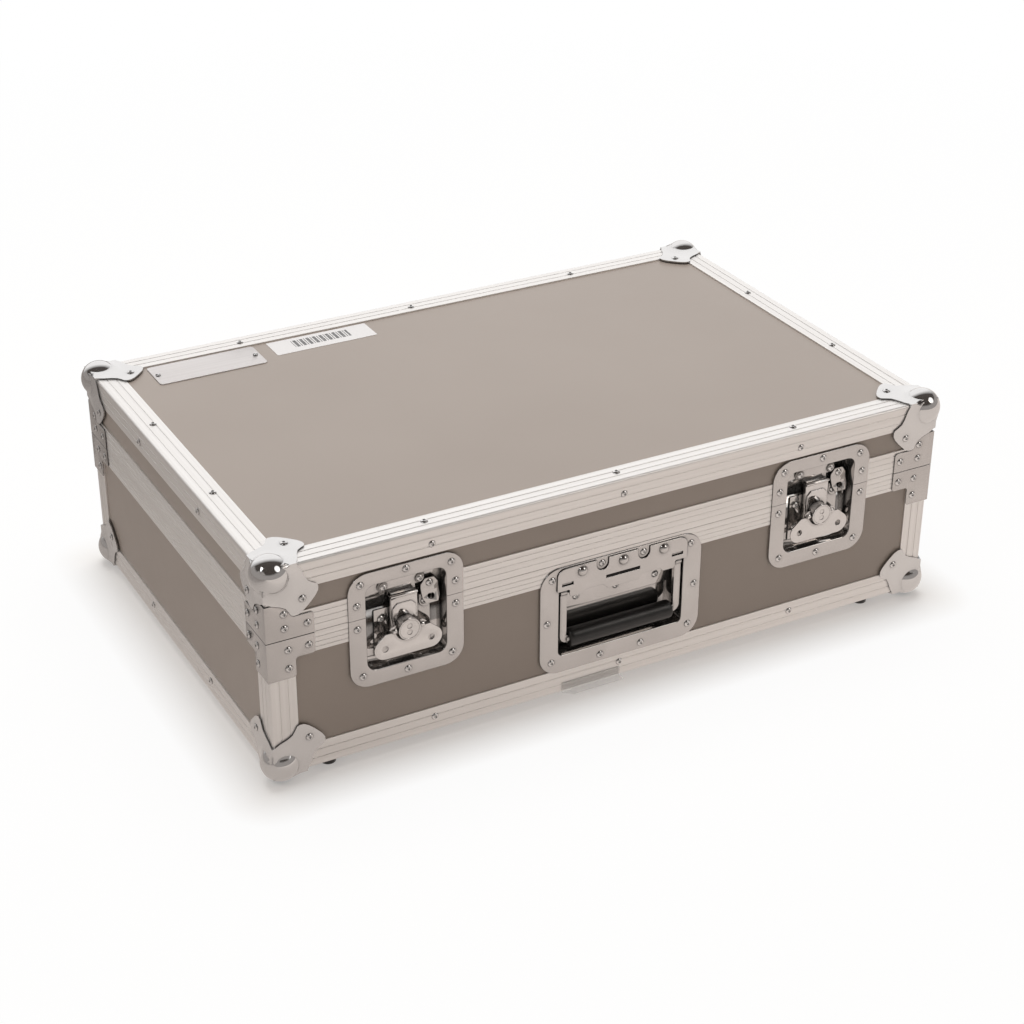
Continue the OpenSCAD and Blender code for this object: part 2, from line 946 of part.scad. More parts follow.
// Rivets in the legs, strips and braces of one half, and the screws that go with them
module side_rivets(strip_z, leg_z, brace_places) {
    front_and_back() {
        rivets([[0, strip_z], [-strip_rivet_x, strip_z], [strip_rivet_x, strip_z]], 0);
        rivets(mirrored([[half_l - leg_rivet_in, leg_z]]), leg_t);
        rivets(mirrored([for (q = brace_places) [half_l - q[0], seam_z + q[1]]]), brace_t);
    }
    both_ends() {
        rivets(mirrored([[strip_rivet_y, strip_z]]), 0);
        rivets(mirrored([[half_d - leg_rivet_in, leg_z]]), leg_t);
        rivets(mirrored([for (q = brace_places) [half_d - q[0], seam_z + q[1]]]), brace_t);
    }
}

module flat_rivets() {
    for (y = [-1, 1], x = [-strip_rivet_x, 0, strip_rivet_x])
        translate([x, y * (half_d - strip_rivet_in), 0]) rivet();
    for (x = [-1, 1], y = [-strip_rivet_y, strip_rivet_y])
        translate([x * (half_l - strip_rivet_in), y, 0]) rivet();
    for (x = [-1, 1], y = [-1, 1])
        translate([x * (half_l - leg_rivet_in), y * (half_d - leg_rivet_in), leg_t]) rivet();
}

module foot_screw() {
    translate([0, 0, foot_seat_deep - screw_head_h]) cylinder(h = screw_head_h, d = screw_head_d);
    cylinder(h = floor_z, d = screw_d);
}

module base_fasteners() {
    color("#d0d0d2") {
        side_rivets(floor_z + strip_rivet_in, floor_z + leg_rivet_in, base_brace_rivets);
        translate([0, 0, floor_z]) mirror([0, 0, 1]) flat_rivets();
        front() {
            both_latches() {
                rivets(mirrored([[dish_rivet_x, seam_z - dish_rivet_down]]), dish_t);
                rivets(mirrored([[dish_side_rivet_x, seam_z - dish_side_rivet_down]]), dish_t);
                rivets([[0, seam_z - dish_low_rivet_down]], dish_t);
                rivets(mirrored([[latch_plate_rivet_x, cam_z - latch_plate_rivet_down]]), latch_plate_front);
                rivets([[-latch_plate_rivet_x, cam_z + latch_plate_rivet_up]], latch_plate_front);
                rivets([[base_tab_rivet_x, seam_z - base_tab_rivet_down]], latch_plate_front + tab_t);
            }
            translate([0, handle_z, 0]) {
                rivets(mirrored([[handle_rivet_x, handle_rivet_up]]), dish_t);
                rivets(mirrored([[handle_rivet_x, -handle_rivet_down]]), dish_t);
                rivets(mirrored([[handle_side_rivet_x, 0]]), dish_t);
                rivets(mirrored([[handle_low_rivet_x, -handle_low_rivet_down]]), dish_t);
                rivets(mirrored([[handle_low_rivet_x, handle_top_rivet_up]]), dish_t);
                rivets([[0, spring_box_rivet_z]], spring_box_front);
                rivets(mirrored([[spring_box_rivet_x, spring_box_rivet_z]]), spring_box_front);
            }
        }
        back() hinge_places() rivets(hinge_rivet_places(-hinge_rivet_z), hinge_t);
        foot_places() intersection() {
            foot_screw();
            translate([0, 0, foot_seat_deep - screw_head_h]) cylinder(h = floor_z, d = foot_seat_d);
        }
    }
}

module lid_fasteners() {
    color("#d0d0d2") {
        side_rivets(top_z - strip_rivet_in, top_z - leg_rivet_in, lid_brace_rivets);
        translate([0, 0, top_z]) flat_rivets();
        front() both_latches() {
            rivets(mirrored([[dish_rivet_x, seam_z + dish_rivet_up]]), dish_t);
            rivets(mirrored([[dish_side_rivet_x, seam_z + dish_side_rivet_up]]), dish_t);
            rivets([[0, seam_z + dish_top_rivet_up]], dish_t);
            rivets(
                mirrored([[keeper_boss_x, seam_z + keeper_boss_up]]),
                recess_floor + keeper_t + keeper_boss_h
            );
            rivets([[tab_x, seam_z + tab_rivet_up]], latch_plate_front + tab_t);
        }
        back() hinge_places() rivets(hinge_rivet_places(hinge_rivet_z), hinge_t);
        plate_place() plate_screws();
    }
}

// Pressed dishes
module dish(flange_w, flange_h, flange_r, hole_w, hole_h, hole_r, hole_y, deep) {
    color("#cfcccb") difference() {
        union() {
            linear_extrude(dish_t) round_rect(flange_w, flange_h, flange_r);
            translate([0, hole_y, -deep - dish_t])
                linear_extrude(deep + dish_t + dish_t)
                    round_rect(hole_w + 2 * dish_t, hole_h + 2 * dish_t, hole_r + dish_t);
        }
        translate([0, hole_y, -deep])
            linear_extrude(deep + dish_t + cut)
                round_rect(hole_w, hole_h, hole_r);
    }
}

module latch_dish() {
    translate([0, seam_z + (latch_up - latch_down) / 2, 0])
        dish(
            latch_w,
            latch_up + latch_down,
            latch_r,
            recess_w,
            recess_up + recess_down,
            recess_r,
            (recess_up - recess_down - latch_up + latch_down) / 2,
            recess_deep
        );
}

module dish_half(z0, h) {
    front() both_latches() intersection() {
        latch_dish();
        translate([-latch_w, z0, -latch_w]) cube([2 * latch_w, h, 2 * latch_w]);
    }
}

module base_latch_dishes() {
    dish_half(seam_z - seam_gap / 2 - latch_w, latch_w);
}

module lid_latch_dishes() {
    dish_half(seam_z + seam_gap / 2, latch_w);
}

module handle_dish() {
    front() translate([0, handle_z, 0])
        dish(
            handle_w,
            handle_h,
            handle_r,
            grip_recess_w,
            grip_recess_h,
            grip_recess_r,
            -grip_recess_drop,
            grip_recess_deep
        );
}

// Latch pieces
module latch_plates() {
    color("#77777a") front() both_latches() difference() {
        translate([-latch_plate_w / 2, cam_z - latch_plate_low, recess_floor])
            cube([latch_plate_w, latch_plate_low + cam_down - latch_plate_up, latch_plate_t]);
        translate([0, cam_z, recess_floor - cut])
            cylinder(h = latch_plate_t + 2 * cut, d = shaft_d + 2 * bore_gap);
    }
}

module latch_cam() {
    shaft_back = recess_floor + run_gap;
    collar_back = boss_out - collar_l;
    color("#d8d8da") front() translate([0, cam_z, 0]) difference() {
        union() {
            translate([0, 0, shaft_back]) cylinder(h = boss_back - shaft_back, d = shaft_d);
            translate([0, -cam_throw, hook_back])
                cylinder(h = hook_channel - hook_t - run_gap, d = cam_d);
            translate([0, 0, boss_back]) cylinder(h = collar_back - boss_back, d = boss_d - 2 * collar_step);
            translate([0, 0, collar_back]) cylinder(h = collar_l, d = boss_d);
            translate([-pin_l / 2, 0, pin_out]) rotate([0, 90, 0]) cylinder(h = pin_l, d = pin_d);
        }
        translate([0, 0, boss_out - boss_face_deep])
            cylinder(h = boss_face_deep + cut, d = boss_d - 2 * boss_face_rim);
        for (s = [-1, 1])
            translate([0, s * dimple_x, boss_out - boss_face_deep - dimple_deep])
                cylinder(h = dimple_deep + cut, d = dimple_d);
    }
}

module latch_wing() {
    outline = rounded(
        [
            [-wing_foot, -wing_low],
            [wing_foot, -wing_low],
            [wing_ear_x, wing_ear_up],
            [-wing_ear_x, wing_ear_up]
        ],
        [wing_lobe_r, wing_lobe_r, wing_ear_r, wing_ear_r]
    );
    color("#cfcccb") front() translate([0, cam_z, 0]) difference() {
        union() {
            translate([0, 0, wing_back]) linear_extrude(wing_t) difference() {
                polygon(outline);
                circle(boss_d / 2 + wing_bay_gap);
                for (s = [-1, 1]) translate([s * wing_hole_x, -wing_hole_low]) circle(d = wing_hole_d);
            }
            for (m = [0, 1])
                mirror([m, 0, 0])
                    translate([wing_knuckle_in, 0, pin_out])
                        rotate([0, 90, 0])
                            cylinder(h = wing_knuckle_l, d = wing_knuckle_d);
        }
        translate([-wing_foot, 0, pin_out])
            rotate([0, 90, 0])
                cylinder(h = 2 * wing_foot, d = pin_d + 2 * bore_gap);
    }
}

module latch_hook() {
    top = seam_z + hook_up;
    low = seam_z - hook_down;
    slot_w = shaft_d + 2 * slot_gap;
    plate_back = hook_front - hook_t;
    color("#c4c4c8") front() difference() {
        union() {
            translate([-hook_w / 2, low, plate_back]) cube([hook_w, top - low, hook_t]);
            for (m = [0, 1])
                mirror([m, 0, 0])
                    translate([hook_w / 2 - hook_t, low, hook_back])
                        cube([hook_t, top - low, hook_channel]);
            translate([0, seam_z, plate_back])
                linear_extrude(hook_t + pad_t)
                    polygon([
                        [-pad_w / 2, -pad_down],
                        [pad_w / 2, -pad_down],
                        [pad_w / 2, pad_up - pad_chamfer],
                        [pad_w / 2 - pad_chamfer, pad_up],
                        [-pad_w / 2 + pad_chamfer, pad_up],
                        [-pad_w / 2, pad_up - pad_chamfer]
                    ]);
            translate([-hook_w / 2, top, plate_back + bead_d / 2])
                rotate([0, 90, 0])
                    cylinder(h = hook_w, d = bead_d);
            for (s = [-1, 1])
                translate([
                    -hook_w / 2 + hook_t / 2,
                    cam_z - cam_throw + s * (cam_d / 2 + yoke_gap + yoke_t / 2) - yoke_t / 2,
                    hook_back
                ])
                    cube([hook_w - hook_t, yoke_t, hook_channel - hook_t / 2]);
        }
        translate([-slot_w / 2, cam_z - 2 * cam_throw, plate_back - cut])
            cube([slot_w, 2 * cam_throw, hook_t + pad_t + 2 * cut]);
        for (z = [cam_z - 2 * cam_throw, cam_z])
            translate([0, z, plate_back - cut]) cylinder(h = hook_t + pad_t + 2 * cut, d = slot_w);
        translate([-slot_w / 2, cam_z - 2 * cam_throw - slot_w / 2, hook_back - cut])
            cube([slot_w, 2 * cam_throw + slot_w, hook_channel - hook_t + cut]);
    }
}

module latch_keepers() {
    ledge_low = seam_z + hook_up + run_gap;
    ears_up = seam_z + keeper_boss_up;
    color("#c4c4c8") front() both_latches() {
        translate([0, 0, recess_floor]) linear_extrude(keeper_t) {
            translate([-keeper_w / 2, ledge_low]) square([keeper_w, ears_up - ledge_low]);
            translate([-keeper_boss_x, ears_up - keeper_ear_r]) square([2 * keeper_boss_x, 2 * keeper_ear_r]);
            for (s = [-1, 1]) translate([s * keeper_boss_x, ears_up]) circle(keeper_ear_r);
        }
        translate([-keeper_ledge_w / 2, ledge_low, recess_floor])
            cube([keeper_ledge_w, keeper_t, hook_front - hook_t - run_gap - recess_floor]);
        for (s = [-1, 1])
            translate([s * keeper_boss_x, ears_up, recess_floor])
                cylinder(h = keeper_t + keeper_boss_h, d = keeper_boss_d);
    }
}

// Lid tab: an upright plate on a spacer, with a leaf bent outwards that holds the shackle hole
module at_tab_leaf() {
    translate([tab_x, seam_z + tab_bend_up, latch_plate_front + tab_t / 2])
        rotate([-tab_bend, 0, 0])
            children();
}

module lid_padlock_tabs() {
    bend = (tab_t / 2) * tan(tab_bend / 2);
    plate_front = latch_plate_front + tab_t;
    mid = [latch_plate_front + tab_t / 2, tab_bend_up];
    end = mid + tab_leaf * [sin(tab_bend), -cos(tab_bend)];
    wall = tab_t / 2 * [cos(tab_bend), sin(tab_bend)];
    hole_z = tab_bend_up - tab_hole_down * cos(tab_bend);
    low = end.y - tab_t;
    side = [
        [latch_plate_front, tab_top_up],
        [latch_plate_front, tab_bend_up - bend],
        end - wall,
        end + wall,
        [plate_front, tab_bend_up + bend],
        [plate_front, tab_top_up]
    ];
    face = [
        [tab_w / 2, hole_z],
        [tab_w / 2, tab_shoulder_up],
        [tab_top_w / 2, tab_top_up],
        [-tab_top_w / 2, tab_top_up],
        [-tab_w / 2, tab_shoulder_up],
        [-tab_w / 2, hole_z],
        [-tab_foot_w / 2, low],
        [tab_foot_w / 2, low]
    ];
    color("#c4c4c8") front() both_latches() {
        difference() {
            intersection() {
                translate([tab_x + tab_w / 2, seam_z, 0])
                    rotate([0, -90, 0])
                        linear_extrude(tab_w)
                            polygon(side);
                translate([tab_x, seam_z, -recess_deep]) linear_extrude(2 * recess_deep) polygon(face);
            }
            at_tab_leaf()
                translate([0, -tab_hole_down, -tab_t])
                    linear_extrude(2 * tab_t)
                        round_rect(tab_hole_w, tab_hole_h, tab_hole_r);
        }
        translate([tab_x, seam_z + tab_rivet_up, recess_floor])
            cylinder(h = latch_plate_t, d = tab_spacer_d);
    }
}

module base_padlock_tabs() {
    round_r = base_tab_w / 2;
    color("#c4c4c8") front() both_latches() translate([0, seam_z, latch_plate_front]) linear_extrude(tab_t)
        difference() {
            union() {
                translate([base_tab_x - round_r, -base_tab_down + round_r])
                    square([base_tab_w, base_tab_up + base_tab_down - round_r]);
                translate([base_tab_x, -base_tab_down + round_r]) circle(round_r);
            }
            translate([base_tab_hole_x, 0]) circle(d = base_tab_hole_d);
        }
}

module split_ring() {
    hole_low = tab_hole_down + tab_hole_h / 2;
    middle = hole_low - ring_seat_gap - ring_wire / 2 + ring_r;
    color("#b8b8bc") front() translate([latch_x, 0, 0]) at_tab_leaf()
        translate([0, -middle, 0])
            rotate([0, 90, 0])
                rotate_extrude()
                    translate([ring_r, 0])
                        circle(d = ring_wire);
}

// Handle pieces, drawn from the middle of the dish
cover_back = dish_t;
cover_front = dish_t + cover_t;
spring_box_front = -grip_recess_deep + spring_box_out;

module handle_cover_plate() {
    half_w = cover_w / 2;
    lobe_top = cover_low_z;
    right = [
        [half_w, cover_top],
        [half_w, cover_notch_z],
        [cover_notch_x, cover_notch_z],
        [cover_notch_x, cover_lobe_z],
        [cover_lobe_x + cover_lobe_slope, cover_lobe_z],
        [cover_lobe_x, lobe_top],
        [cover_tab_x + cover_tab_slope, lobe_top],
        [cover_tab_x, cover_tab_z]
    ];
    left = [for (i = [len(right) - 1 : -1 : 0]) [-right[i][0], right[i][1]]];
    radii = [
        cover_end_r, cover_point_r, cover_point_r, cover_lobe_slope, cover_point_r,
        cover_point_r, cover_point_r, cover_point_r
    ];
    all_radii = concat(radii, [for (i = [len(radii) - 1 : -1 : 0]) radii[i]]);
    color("#cfcccb") front() translate([0, handle_z, 0]) {
        translate([0, 0, cover_back]) linear_extrude(cover_t) difference() {
            polygon(rounded(concat(right, left), all_radii, 6));
            for (s = [-1, 1]) {
                translate([s * handle_low_rivet_x, handle_top_rivet_up]) circle(cover_bay_r);
                translate([s * handle_low_rivet_x - cover_bay_r, handle_top_rivet_up])
                    square([2 * cover_bay_r, cover_top]);
                translate([s * cover_end_slot_x, cover_end_slot_z])
                    square([cover_end_slot_w, cover_slot_h], center = true);
            }
            translate([0, cover_slot_z]) square([2 * cover_slot_x, cover_slot_h], center = true);
        }
        for (m = [0, 1]) mirror([m, 0, 0]) difference() {
            translate([lug_x, pivot_z - handle_z - lug_low, pivot_p - lug_deep / 2])
                cube([lug_t, 2 * lug_low, cover_back + lug_deep / 2 - pivot_p]);
            translate([lug_x - cut, pivot_z - handle_z, pivot_p])
                rotate([0, 90, 0])
                    cylinder(h = lug_t + 2 * cut, d = rod_d + 2 * bore_gap);
        }
    }
}

module handle_bolts() {
    cap_r = (bolt_d * bolt_d / 4 + bolt_h * bolt_h) / (2 * bolt_h);
    color("#d8d8da") front()
        for (x = [-cover_bolt_x, 0, cover_bolt_x])
            translate([x, handle_z + cover_bolt_z, cover_front]) intersection() {
                translate([0, 0, bolt_h - cap_r]) sphere(cap_r);
                cylinder(h = bolt_h, d = bolt_d);
            }
}

module handle_spring_box() {
    top = grip_recess_h / 2 - grip_recess_drop - spring_box_t;
    color("#c9c7c6") front() translate([-spring_box_w / 2, handle_z, 0]) {
        translate([0, spring_box_low, spring_box_front - spring_box_t])
            cube([spring_box_w, top - spring_box_low, spring_box_t]);
        translate([0, spring_box_low, -grip_recess_deep])
            cube([spring_box_w, spring_box_t, spring_box_out - spring_box_t / 2]);
    }
}

module handle_pivot_rod() {
    color("#9a9a9d") front() translate([-rod_l / 2, pivot_z, pivot_p])
        rotate([0, 90, 0])
            cylinder(h = rod_l, d = rod_d);
}

module handle_springs() {
    inner = rod_d / 2 + coil_gap;
    color("#77777a") front()
        for (m = [0, 1])
            mirror([m, 0, 0]) translate([coil_in, pivot_z, pivot_p]) rotate([0, 90, 0]) difference() {
                cylinder(h = coil_l, r = inner + coil_wall);
                translate([0, 0, -cut]) cylinder(h = coil_l + 2 * cut, r = inner);
            }
}

module handle_bail() {
    outer = bail_x + bail_w / 2;
    inner = bail_x - bail_w / 2;
    arm_top = -rod_d / 2 - run_gap;
    foot_low = -bail_drop - bail_foot_h / 2;
    foot_high = -bail_drop + bail_foot_h / 2;
    outline = rounded(
        [
            [outer, arm_top],
            [inner, arm_top],
            [inner, foot_high],
            [grip_l / 2, foot_high],
            [grip_l / 2, foot_low],
            [outer, foot_low]
        ],
        [0, 0, bail_inner_r, 0, 0, bail_foot_r]
    );
    color("#cfcccb") front() translate([0, pivot_z, pivot_p]) {
        for (m = [0, 1]) mirror([m, 0, 0]) difference() {
            union() {
                translate([0, 0, -bail_t / 2]) linear_extrude(bail_t) polygon(outline);
                translate([inner, 0, 0]) rotate([0, 90, 0]) cylinder(h = bail_w, d = eye_d);
            }
            translate([inner - cut, 0, 0])
                rotate([0, 90, 0])
                    cylinder(h = bail_w + 2 * cut, d = rod_d + 2 * bore_gap);
        }
        translate([-inner, -bail_drop, grip_p - pivot_p])
            rotate([0, 90, 0])
                cylinder(h = 2 * inner, d = core_d);
    }
}

module handle_grip() {
    r = grip_d / 2;
    color("#1c1c1e") front() translate([-grip_l / 2, grip_z, grip_p]) rotate([0, 90, 0]) rotate_extrude()
        difference() {
            union() {
                translate([0, grip_end_r]) square([r - grip_waist, grip_l - 2 * grip_end_r]);
                square([r - grip_end_r, grip_l]);
                translate([r - grip_end_r, grip_end_r]) circle(grip_end_r);
                translate([r - grip_end_r, grip_l - grip_end_r]) circle(grip_end_r);
                translate([r - grip_end_r, grip_l * (1 - grip_swell_share) / 2])
                    square([grip_end_r, grip_l * grip_swell_share]);
            }
            translate([0, -cut]) square([core_d / 2, grip_l + 2 * cut]);
        }
}

// Feet
module foot_places() {
    for (x = [-1, 1], y = [-1, 1])
        translate([x * (half_l - foot_in_x), y * (half_d - foot_in_y), 0]) children();
}

module rubber_feet() {
    color("#202022") foot_places() difference() {
        cylinder(h = floor_z, d1 = foot_d - 2 * foot_top_d_gap, d2 = foot_d);
        translate([0, 0, -cut]) cylinder(h = foot_seat_deep + cut, d = foot_seat_d);
        cylinder(h = floor_z + cut, d = foot_hole_d);
    }
}

// Foam lining
module floor_foam() {
    color("#3a3a3c")
        translate([-half_l + wall_in, -half_d + wall_in, floor_z + wall_in])
            cube([case_l - 2 * wall_in, case_d - 2 * wall_in, foam_t]);
}

module top_foam() {
    color("#3a3a3c")
        translate([-half_l + wall_in, -half_d + wall_in, top_z - wall_in - foam_t])
            cube([case_l - 2 * wall_in, case_d - 2 * wall_in, foam_t]);
}

module wall_foam(z0, z1) {
    color("#3a3a3c") difference() {
        union() {
            for (m = [0, 1]) {
                mirror([0, m, 0])
                    translate([-half_l + wall_in, -half_d + wall_in, z0])
                        cube([case_l - 2 * wall_in, foam_t, z1 - z0]);
                mirror([m, 0, 0])
                    translate([-half_l + wall_in, -half_d + wall_in + foam_t + run_gap, z0])
                        cube([foam_t, case_d - 2 * (wall_in + foam_t + run_gap), z1 - z0]);
            }
        }
        recess_room();
    }
}

module base_wall_foam() {
    wall_foam(floor_z + wall_in + foam_t, base_foam_top);
}

module lid_wall_foam() {
    wall_foam(lid_foam_low, top_z - wall_in - foam_t);
}

// Hinges behind the case
module hinge_places() {
    for (x = [-hinge_x, hinge_x]) translate([x, seam_z, 0]) children();
}

function hinge_rivet_places(z) = [for (x = [-hinge_rivet_x, 0, hinge_rivet_x]) [x, z]];

module hinge_knuckles(parts, d) {
    part_l = hinge_l / hinge_parts;
    for (i = parts)
        translate([-hinge_l / 2 + i * part_l + run_gap / 2, 0, hinge_out])
            rotate([0, 90, 0])
                cylinder(h = part_l - run_gap, d = d);
}

module hinge_gaps(parts) {
    part_l = hinge_l / hinge_parts;
    for (i = parts)
        translate([-hinge_l / 2 + i * part_l - run_gap / 2, 0, hinge_out])
            rotate([0, 90, 0])
                cylinder(h = part_l + run_gap, d = knuckle_d + 2 * run_gap);
}

module hinge_bore() {
    translate([-hinge_l / 2 - cut, 0, hinge_out])
        rotate([0, 90, 0])
            cylinder(h = hinge_l + 2 * cut, d = hinge_pin_d + 2 * bore_gap);
}

module hinge_leaf(side, own, other) {
    color("#d0d0d2") back() hinge_places() difference() {
        union() {
            difference() {
                translate([-hinge_l / 2, side > 0 ? seam_gap / 2 : -hinge_leaf_h, 0])
                    cube([hinge_l, hinge_leaf_h - seam_gap / 2, hinge_t]);
                hinge_gaps(other);
            }
            hinge_knuckles(own, knuckle_d);
        }
        hinge_bore();
    }
}

module hinge_base_leaves() {
    hinge_leaf(-1, [0, 2, 4], [1, 3]);
}

module hinge_lid_leaves() {
    hinge_leaf(1, [1, 3], [0, 2, 4]);
}

module hinge_pins() {
    color("#9a9a9d") back() hinge_places()
        translate([-hinge_l / 2, 0, hinge_out]) rotate([0, 90, 0]) cylinder(h = hinge_l, d = hinge_pin_d);
}

// Plate and label on the lid, and the clear tab under the front edge
module plate_place() {
    translate([-half_l + plate_in_x + plate_l / 2, half_d - plate_in_y - plate_w / 2, top_z - skin_in])
        children();
}

module name_plate() {
    color("#b9b4b0") plate_place() linear_extrude(plate_t) round_rect(plate_l, plate_w, plate_r);
}

module plate_screws() {
    for (s = [-1, 1])
        translate([s * (plate_l / 2 - plate_screw_in), 0, plate_t]) difference() {
            cylinder(h = plate_screw_h, d = plate_screw_d);
            translate([-plate_screw_d, -plate_slot_w / 2, plate_screw_h - plate_slot_deep])
                cube([2 * plate_screw_d, plate_slot_w, plate_slot_deep + cut]);
        }
}

module label() {
    color("white")
        plate_place()
            translate([plate_l / 2 + label_gap, plate_w / 2 - label_w, 0])
                cube([label_l, label_w, label_t]);
}

module clear_tab() {
    color([0.85, 0.88, 0.9, 0.4]) translate([0, -half_d, floor_z]) {
        translate([-clip_l, -clip_t, 0]) cube([clip_l, clip_t, clip_h]);
        linear_extrude(clip_t) polygon([
            [0, 0],
            [-clip_l, 0],
            [-clip_l, clip_chamfer_out - clip_out],
            [-clip_l + clip_chamfer, -clip_out],
            [0, -clip_out]
        ]);
    }
}

// Moving pieces of the two latches
module left_latch_cam() {
    translate([-latch_x, 0, 0]) latch_cam();
}

module right_latch_cam() {
    translate([latch_x, 0, 0]) latch_cam();
}

module left_latch_wing() {
    translate([-latch_x, 0, 0]) latch_wing();
}

module right_latch_wing() {
    translate([latch_x, 0, 0]) latch_wing();
}

module left_latch_hook() {
    translate([-latch_x, 0, 0]) latch_hook();
}

module right_latch_hook() {
    translate([latch_x, 0, 0]) latch_hook();
}

floor_panel();
base_front_panel();
base_back_panel();
base_left_panel();
base_right_panel();
base_long_edges();
base_end_edges();
base_corner_posts();
base_front_band();
base_back_band();
base_end_bands();
base_ball_corners();
base_corner_braces();
base_fasteners();
base_latch_dishes();
latch_plates();
base_padlock_tabs();
handle_dish();
handle_cover_plate();
handle_bolts();
handle_spring_box();
handle_pivot_rod();
handle_springs();
rubber_feet();
floor_foam();
base_wall_foam();
hinge_base_leaves();
hinge_pins();
clear_tab();
top_panel();
lid_front_panel();
lid_back_panel();
lid_left_panel();
lid_right_panel();
lid_long_edges();
lid_end_edges();
lid_corner_posts();
lid_front_band();
lid_back_band();
lid_end_bands();
lid_ball_corners();
lid_corner_braces();
lid_fasteners();
lid_latch_dishes();
latch_keepers();
lid_padlock_tabs();
split_ring();
top_foam();
lid_wall_foam();
hinge_lid_leaves();
name_plate();
label();
left_latch_cam();
right_latch_cam();
left_latch_wing();
right_latch_wing();
left_latch_hook();
right_latch_hook();
handle_bail();
handle_grip();
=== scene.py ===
import math

import bmesh
import bpy
from mathutils import Matrix, Vector


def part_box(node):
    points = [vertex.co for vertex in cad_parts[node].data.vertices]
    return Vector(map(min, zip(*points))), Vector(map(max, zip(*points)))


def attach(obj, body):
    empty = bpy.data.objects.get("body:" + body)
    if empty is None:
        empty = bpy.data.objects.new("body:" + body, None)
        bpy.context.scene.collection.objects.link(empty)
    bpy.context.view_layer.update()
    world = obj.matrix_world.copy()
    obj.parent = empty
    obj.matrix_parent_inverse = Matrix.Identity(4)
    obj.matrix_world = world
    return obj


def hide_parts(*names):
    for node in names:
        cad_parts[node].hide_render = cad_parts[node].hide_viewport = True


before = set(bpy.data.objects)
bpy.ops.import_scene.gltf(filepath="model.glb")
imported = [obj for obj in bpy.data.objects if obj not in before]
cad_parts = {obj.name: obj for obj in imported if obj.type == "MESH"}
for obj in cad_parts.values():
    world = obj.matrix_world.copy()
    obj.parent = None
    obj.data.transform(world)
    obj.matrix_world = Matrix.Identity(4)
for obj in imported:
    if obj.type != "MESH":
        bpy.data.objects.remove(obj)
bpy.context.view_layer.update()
mm = 0.001


# Camera at the photograph's viewing angle

def place_camera():
    film_width = 36.0
    focal_length = 75.13
    azimuth, elevation, roll = math.radians(28.44), math.radians(28.91), math.radians(0.18)
    standpoint = Vector((-893.8, -1664.3, 1118.4)) * mm
    lens = bpy.data.cameras.new("camera")
    lens.sensor_width = film_width
    lens.lens = focal_length
    lens.clip_end = 60.0
    camera = bpy.data.objects.new("camera", lens)
    bpy.context.scene.collection.objects.link(camera)
    turn = Matrix.Rotation(-azimuth, 4, "Z")
    turn = turn @ Matrix.Rotation(math.pi / 2 - elevation, 4, "X")
    turn = turn @ Matrix.Rotation(roll, 4, "Z")
    camera.matrix_world = Matrix.Translation(standpoint) @ turn
    bpy.context.scene.camera = camera


place_camera()


# Shader nodes

def material(name):
    made = bpy.data.materials.new(name)
    made.use_nodes = True
    tree = made.node_tree
    return made, tree, tree.nodes["Principled BSDF"]


def add(tree, kind, settings=None, **inputs):
    """Adds a node. Inputs are given by name, or as i and a number where names repeat."""
    node = tree.nodes.new(kind)
    for key, value in (settings or {}).items():
        setattr(node, key, value)
    for key, value in inputs.items():
        numbered = key[0] == "i" and key[1:].isdigit()
        socket = node.inputs[int(key[1:]) if numbered else key.replace("_", " ")]
        if isinstance(value, bpy.types.NodeSocket):
            tree.links.new(value, socket)
        else:
            socket.default_value = value
    return node


def link(tree, source, shader, socket):
    tree.links.new(source, shader.inputs[socket])


def reckon(tree, operation, first, second=None):
    """A sum on numbers."""
    inputs = dict(i0=first) if second is None else dict(i0=first, i1=second)
    return add(tree, "ShaderNodeMath", {"operation": operation}, **inputs).outputs[0]


def reckon_vector(tree, operation, first, second=None):
    """A sum on vectors, which gives a number for a dot product or a length."""
    inputs = dict(i0=first) if second is None else dict(i0=first, i1=second)
    node = add(tree, "ShaderNodeVectorMath", {"operation": operation}, **inputs)
    return node.outputs["Value" if operation in ("DOT_PRODUCT", "LENGTH") else "Vector"]


def scaled(tree, colour, share):
    node = add(tree, "ShaderNodeVectorMath", {"operation": "SCALE"}, i0=colour, Scale=share)
    return node.outputs["Vector"]


def mixed(tree, share, first, second):
    return add(tree, "ShaderNodeMix", {"data_type": "RGBA"}, i0=share, i6=first, i7=second).outputs[2]


def place_vector(tree, scale=(1, 1, 1)):
    coords = add(tree, "ShaderNodeTexCoord")
    return add(tree, "ShaderNodeMapping", Vector=coords.outputs["Object"], Scale=scale).outputs["Vector"]


def noise(tree, vector, scale, detail=3.0, roughness=0.5):
    node = add(tree, "ShaderNodeTexNoise", Vector=vector, Scale=scale, Detail=detail, Roughness=roughness)
    return node.outputs["Fac"]


def ramp(tree, value, colours, start=0.0, end=1.0):
    """The first colour where the value is at its start, the second where it is at its end."""
    node = add(tree, "ShaderNodeValToRGB", Fac=value)
    for element, place, colour in zip(node.color_ramp.elements, (start, end), colours):
        element.position = place
        element.color = (*colour, 1)
    return node.outputs["Color"]


def spread(tree, value, low, high, start=0.0, end=1.0):
    """Low where the value is at its start, high where it is at its end."""
    return add(tree, "ShaderNodeMapRange", Value=value, i1=start, i2=end, i3=low, i4=high).outputs["Result"]


def bump(tree, height, strength, distance, normal=None):
    inputs = dict(Height=height, Strength=strength, Distance=distance)
    if normal is not None:
        inputs["Normal"] = normal
    return add(tree, "ShaderNodeBump", **inputs).outputs["Normal"]


# Finishes

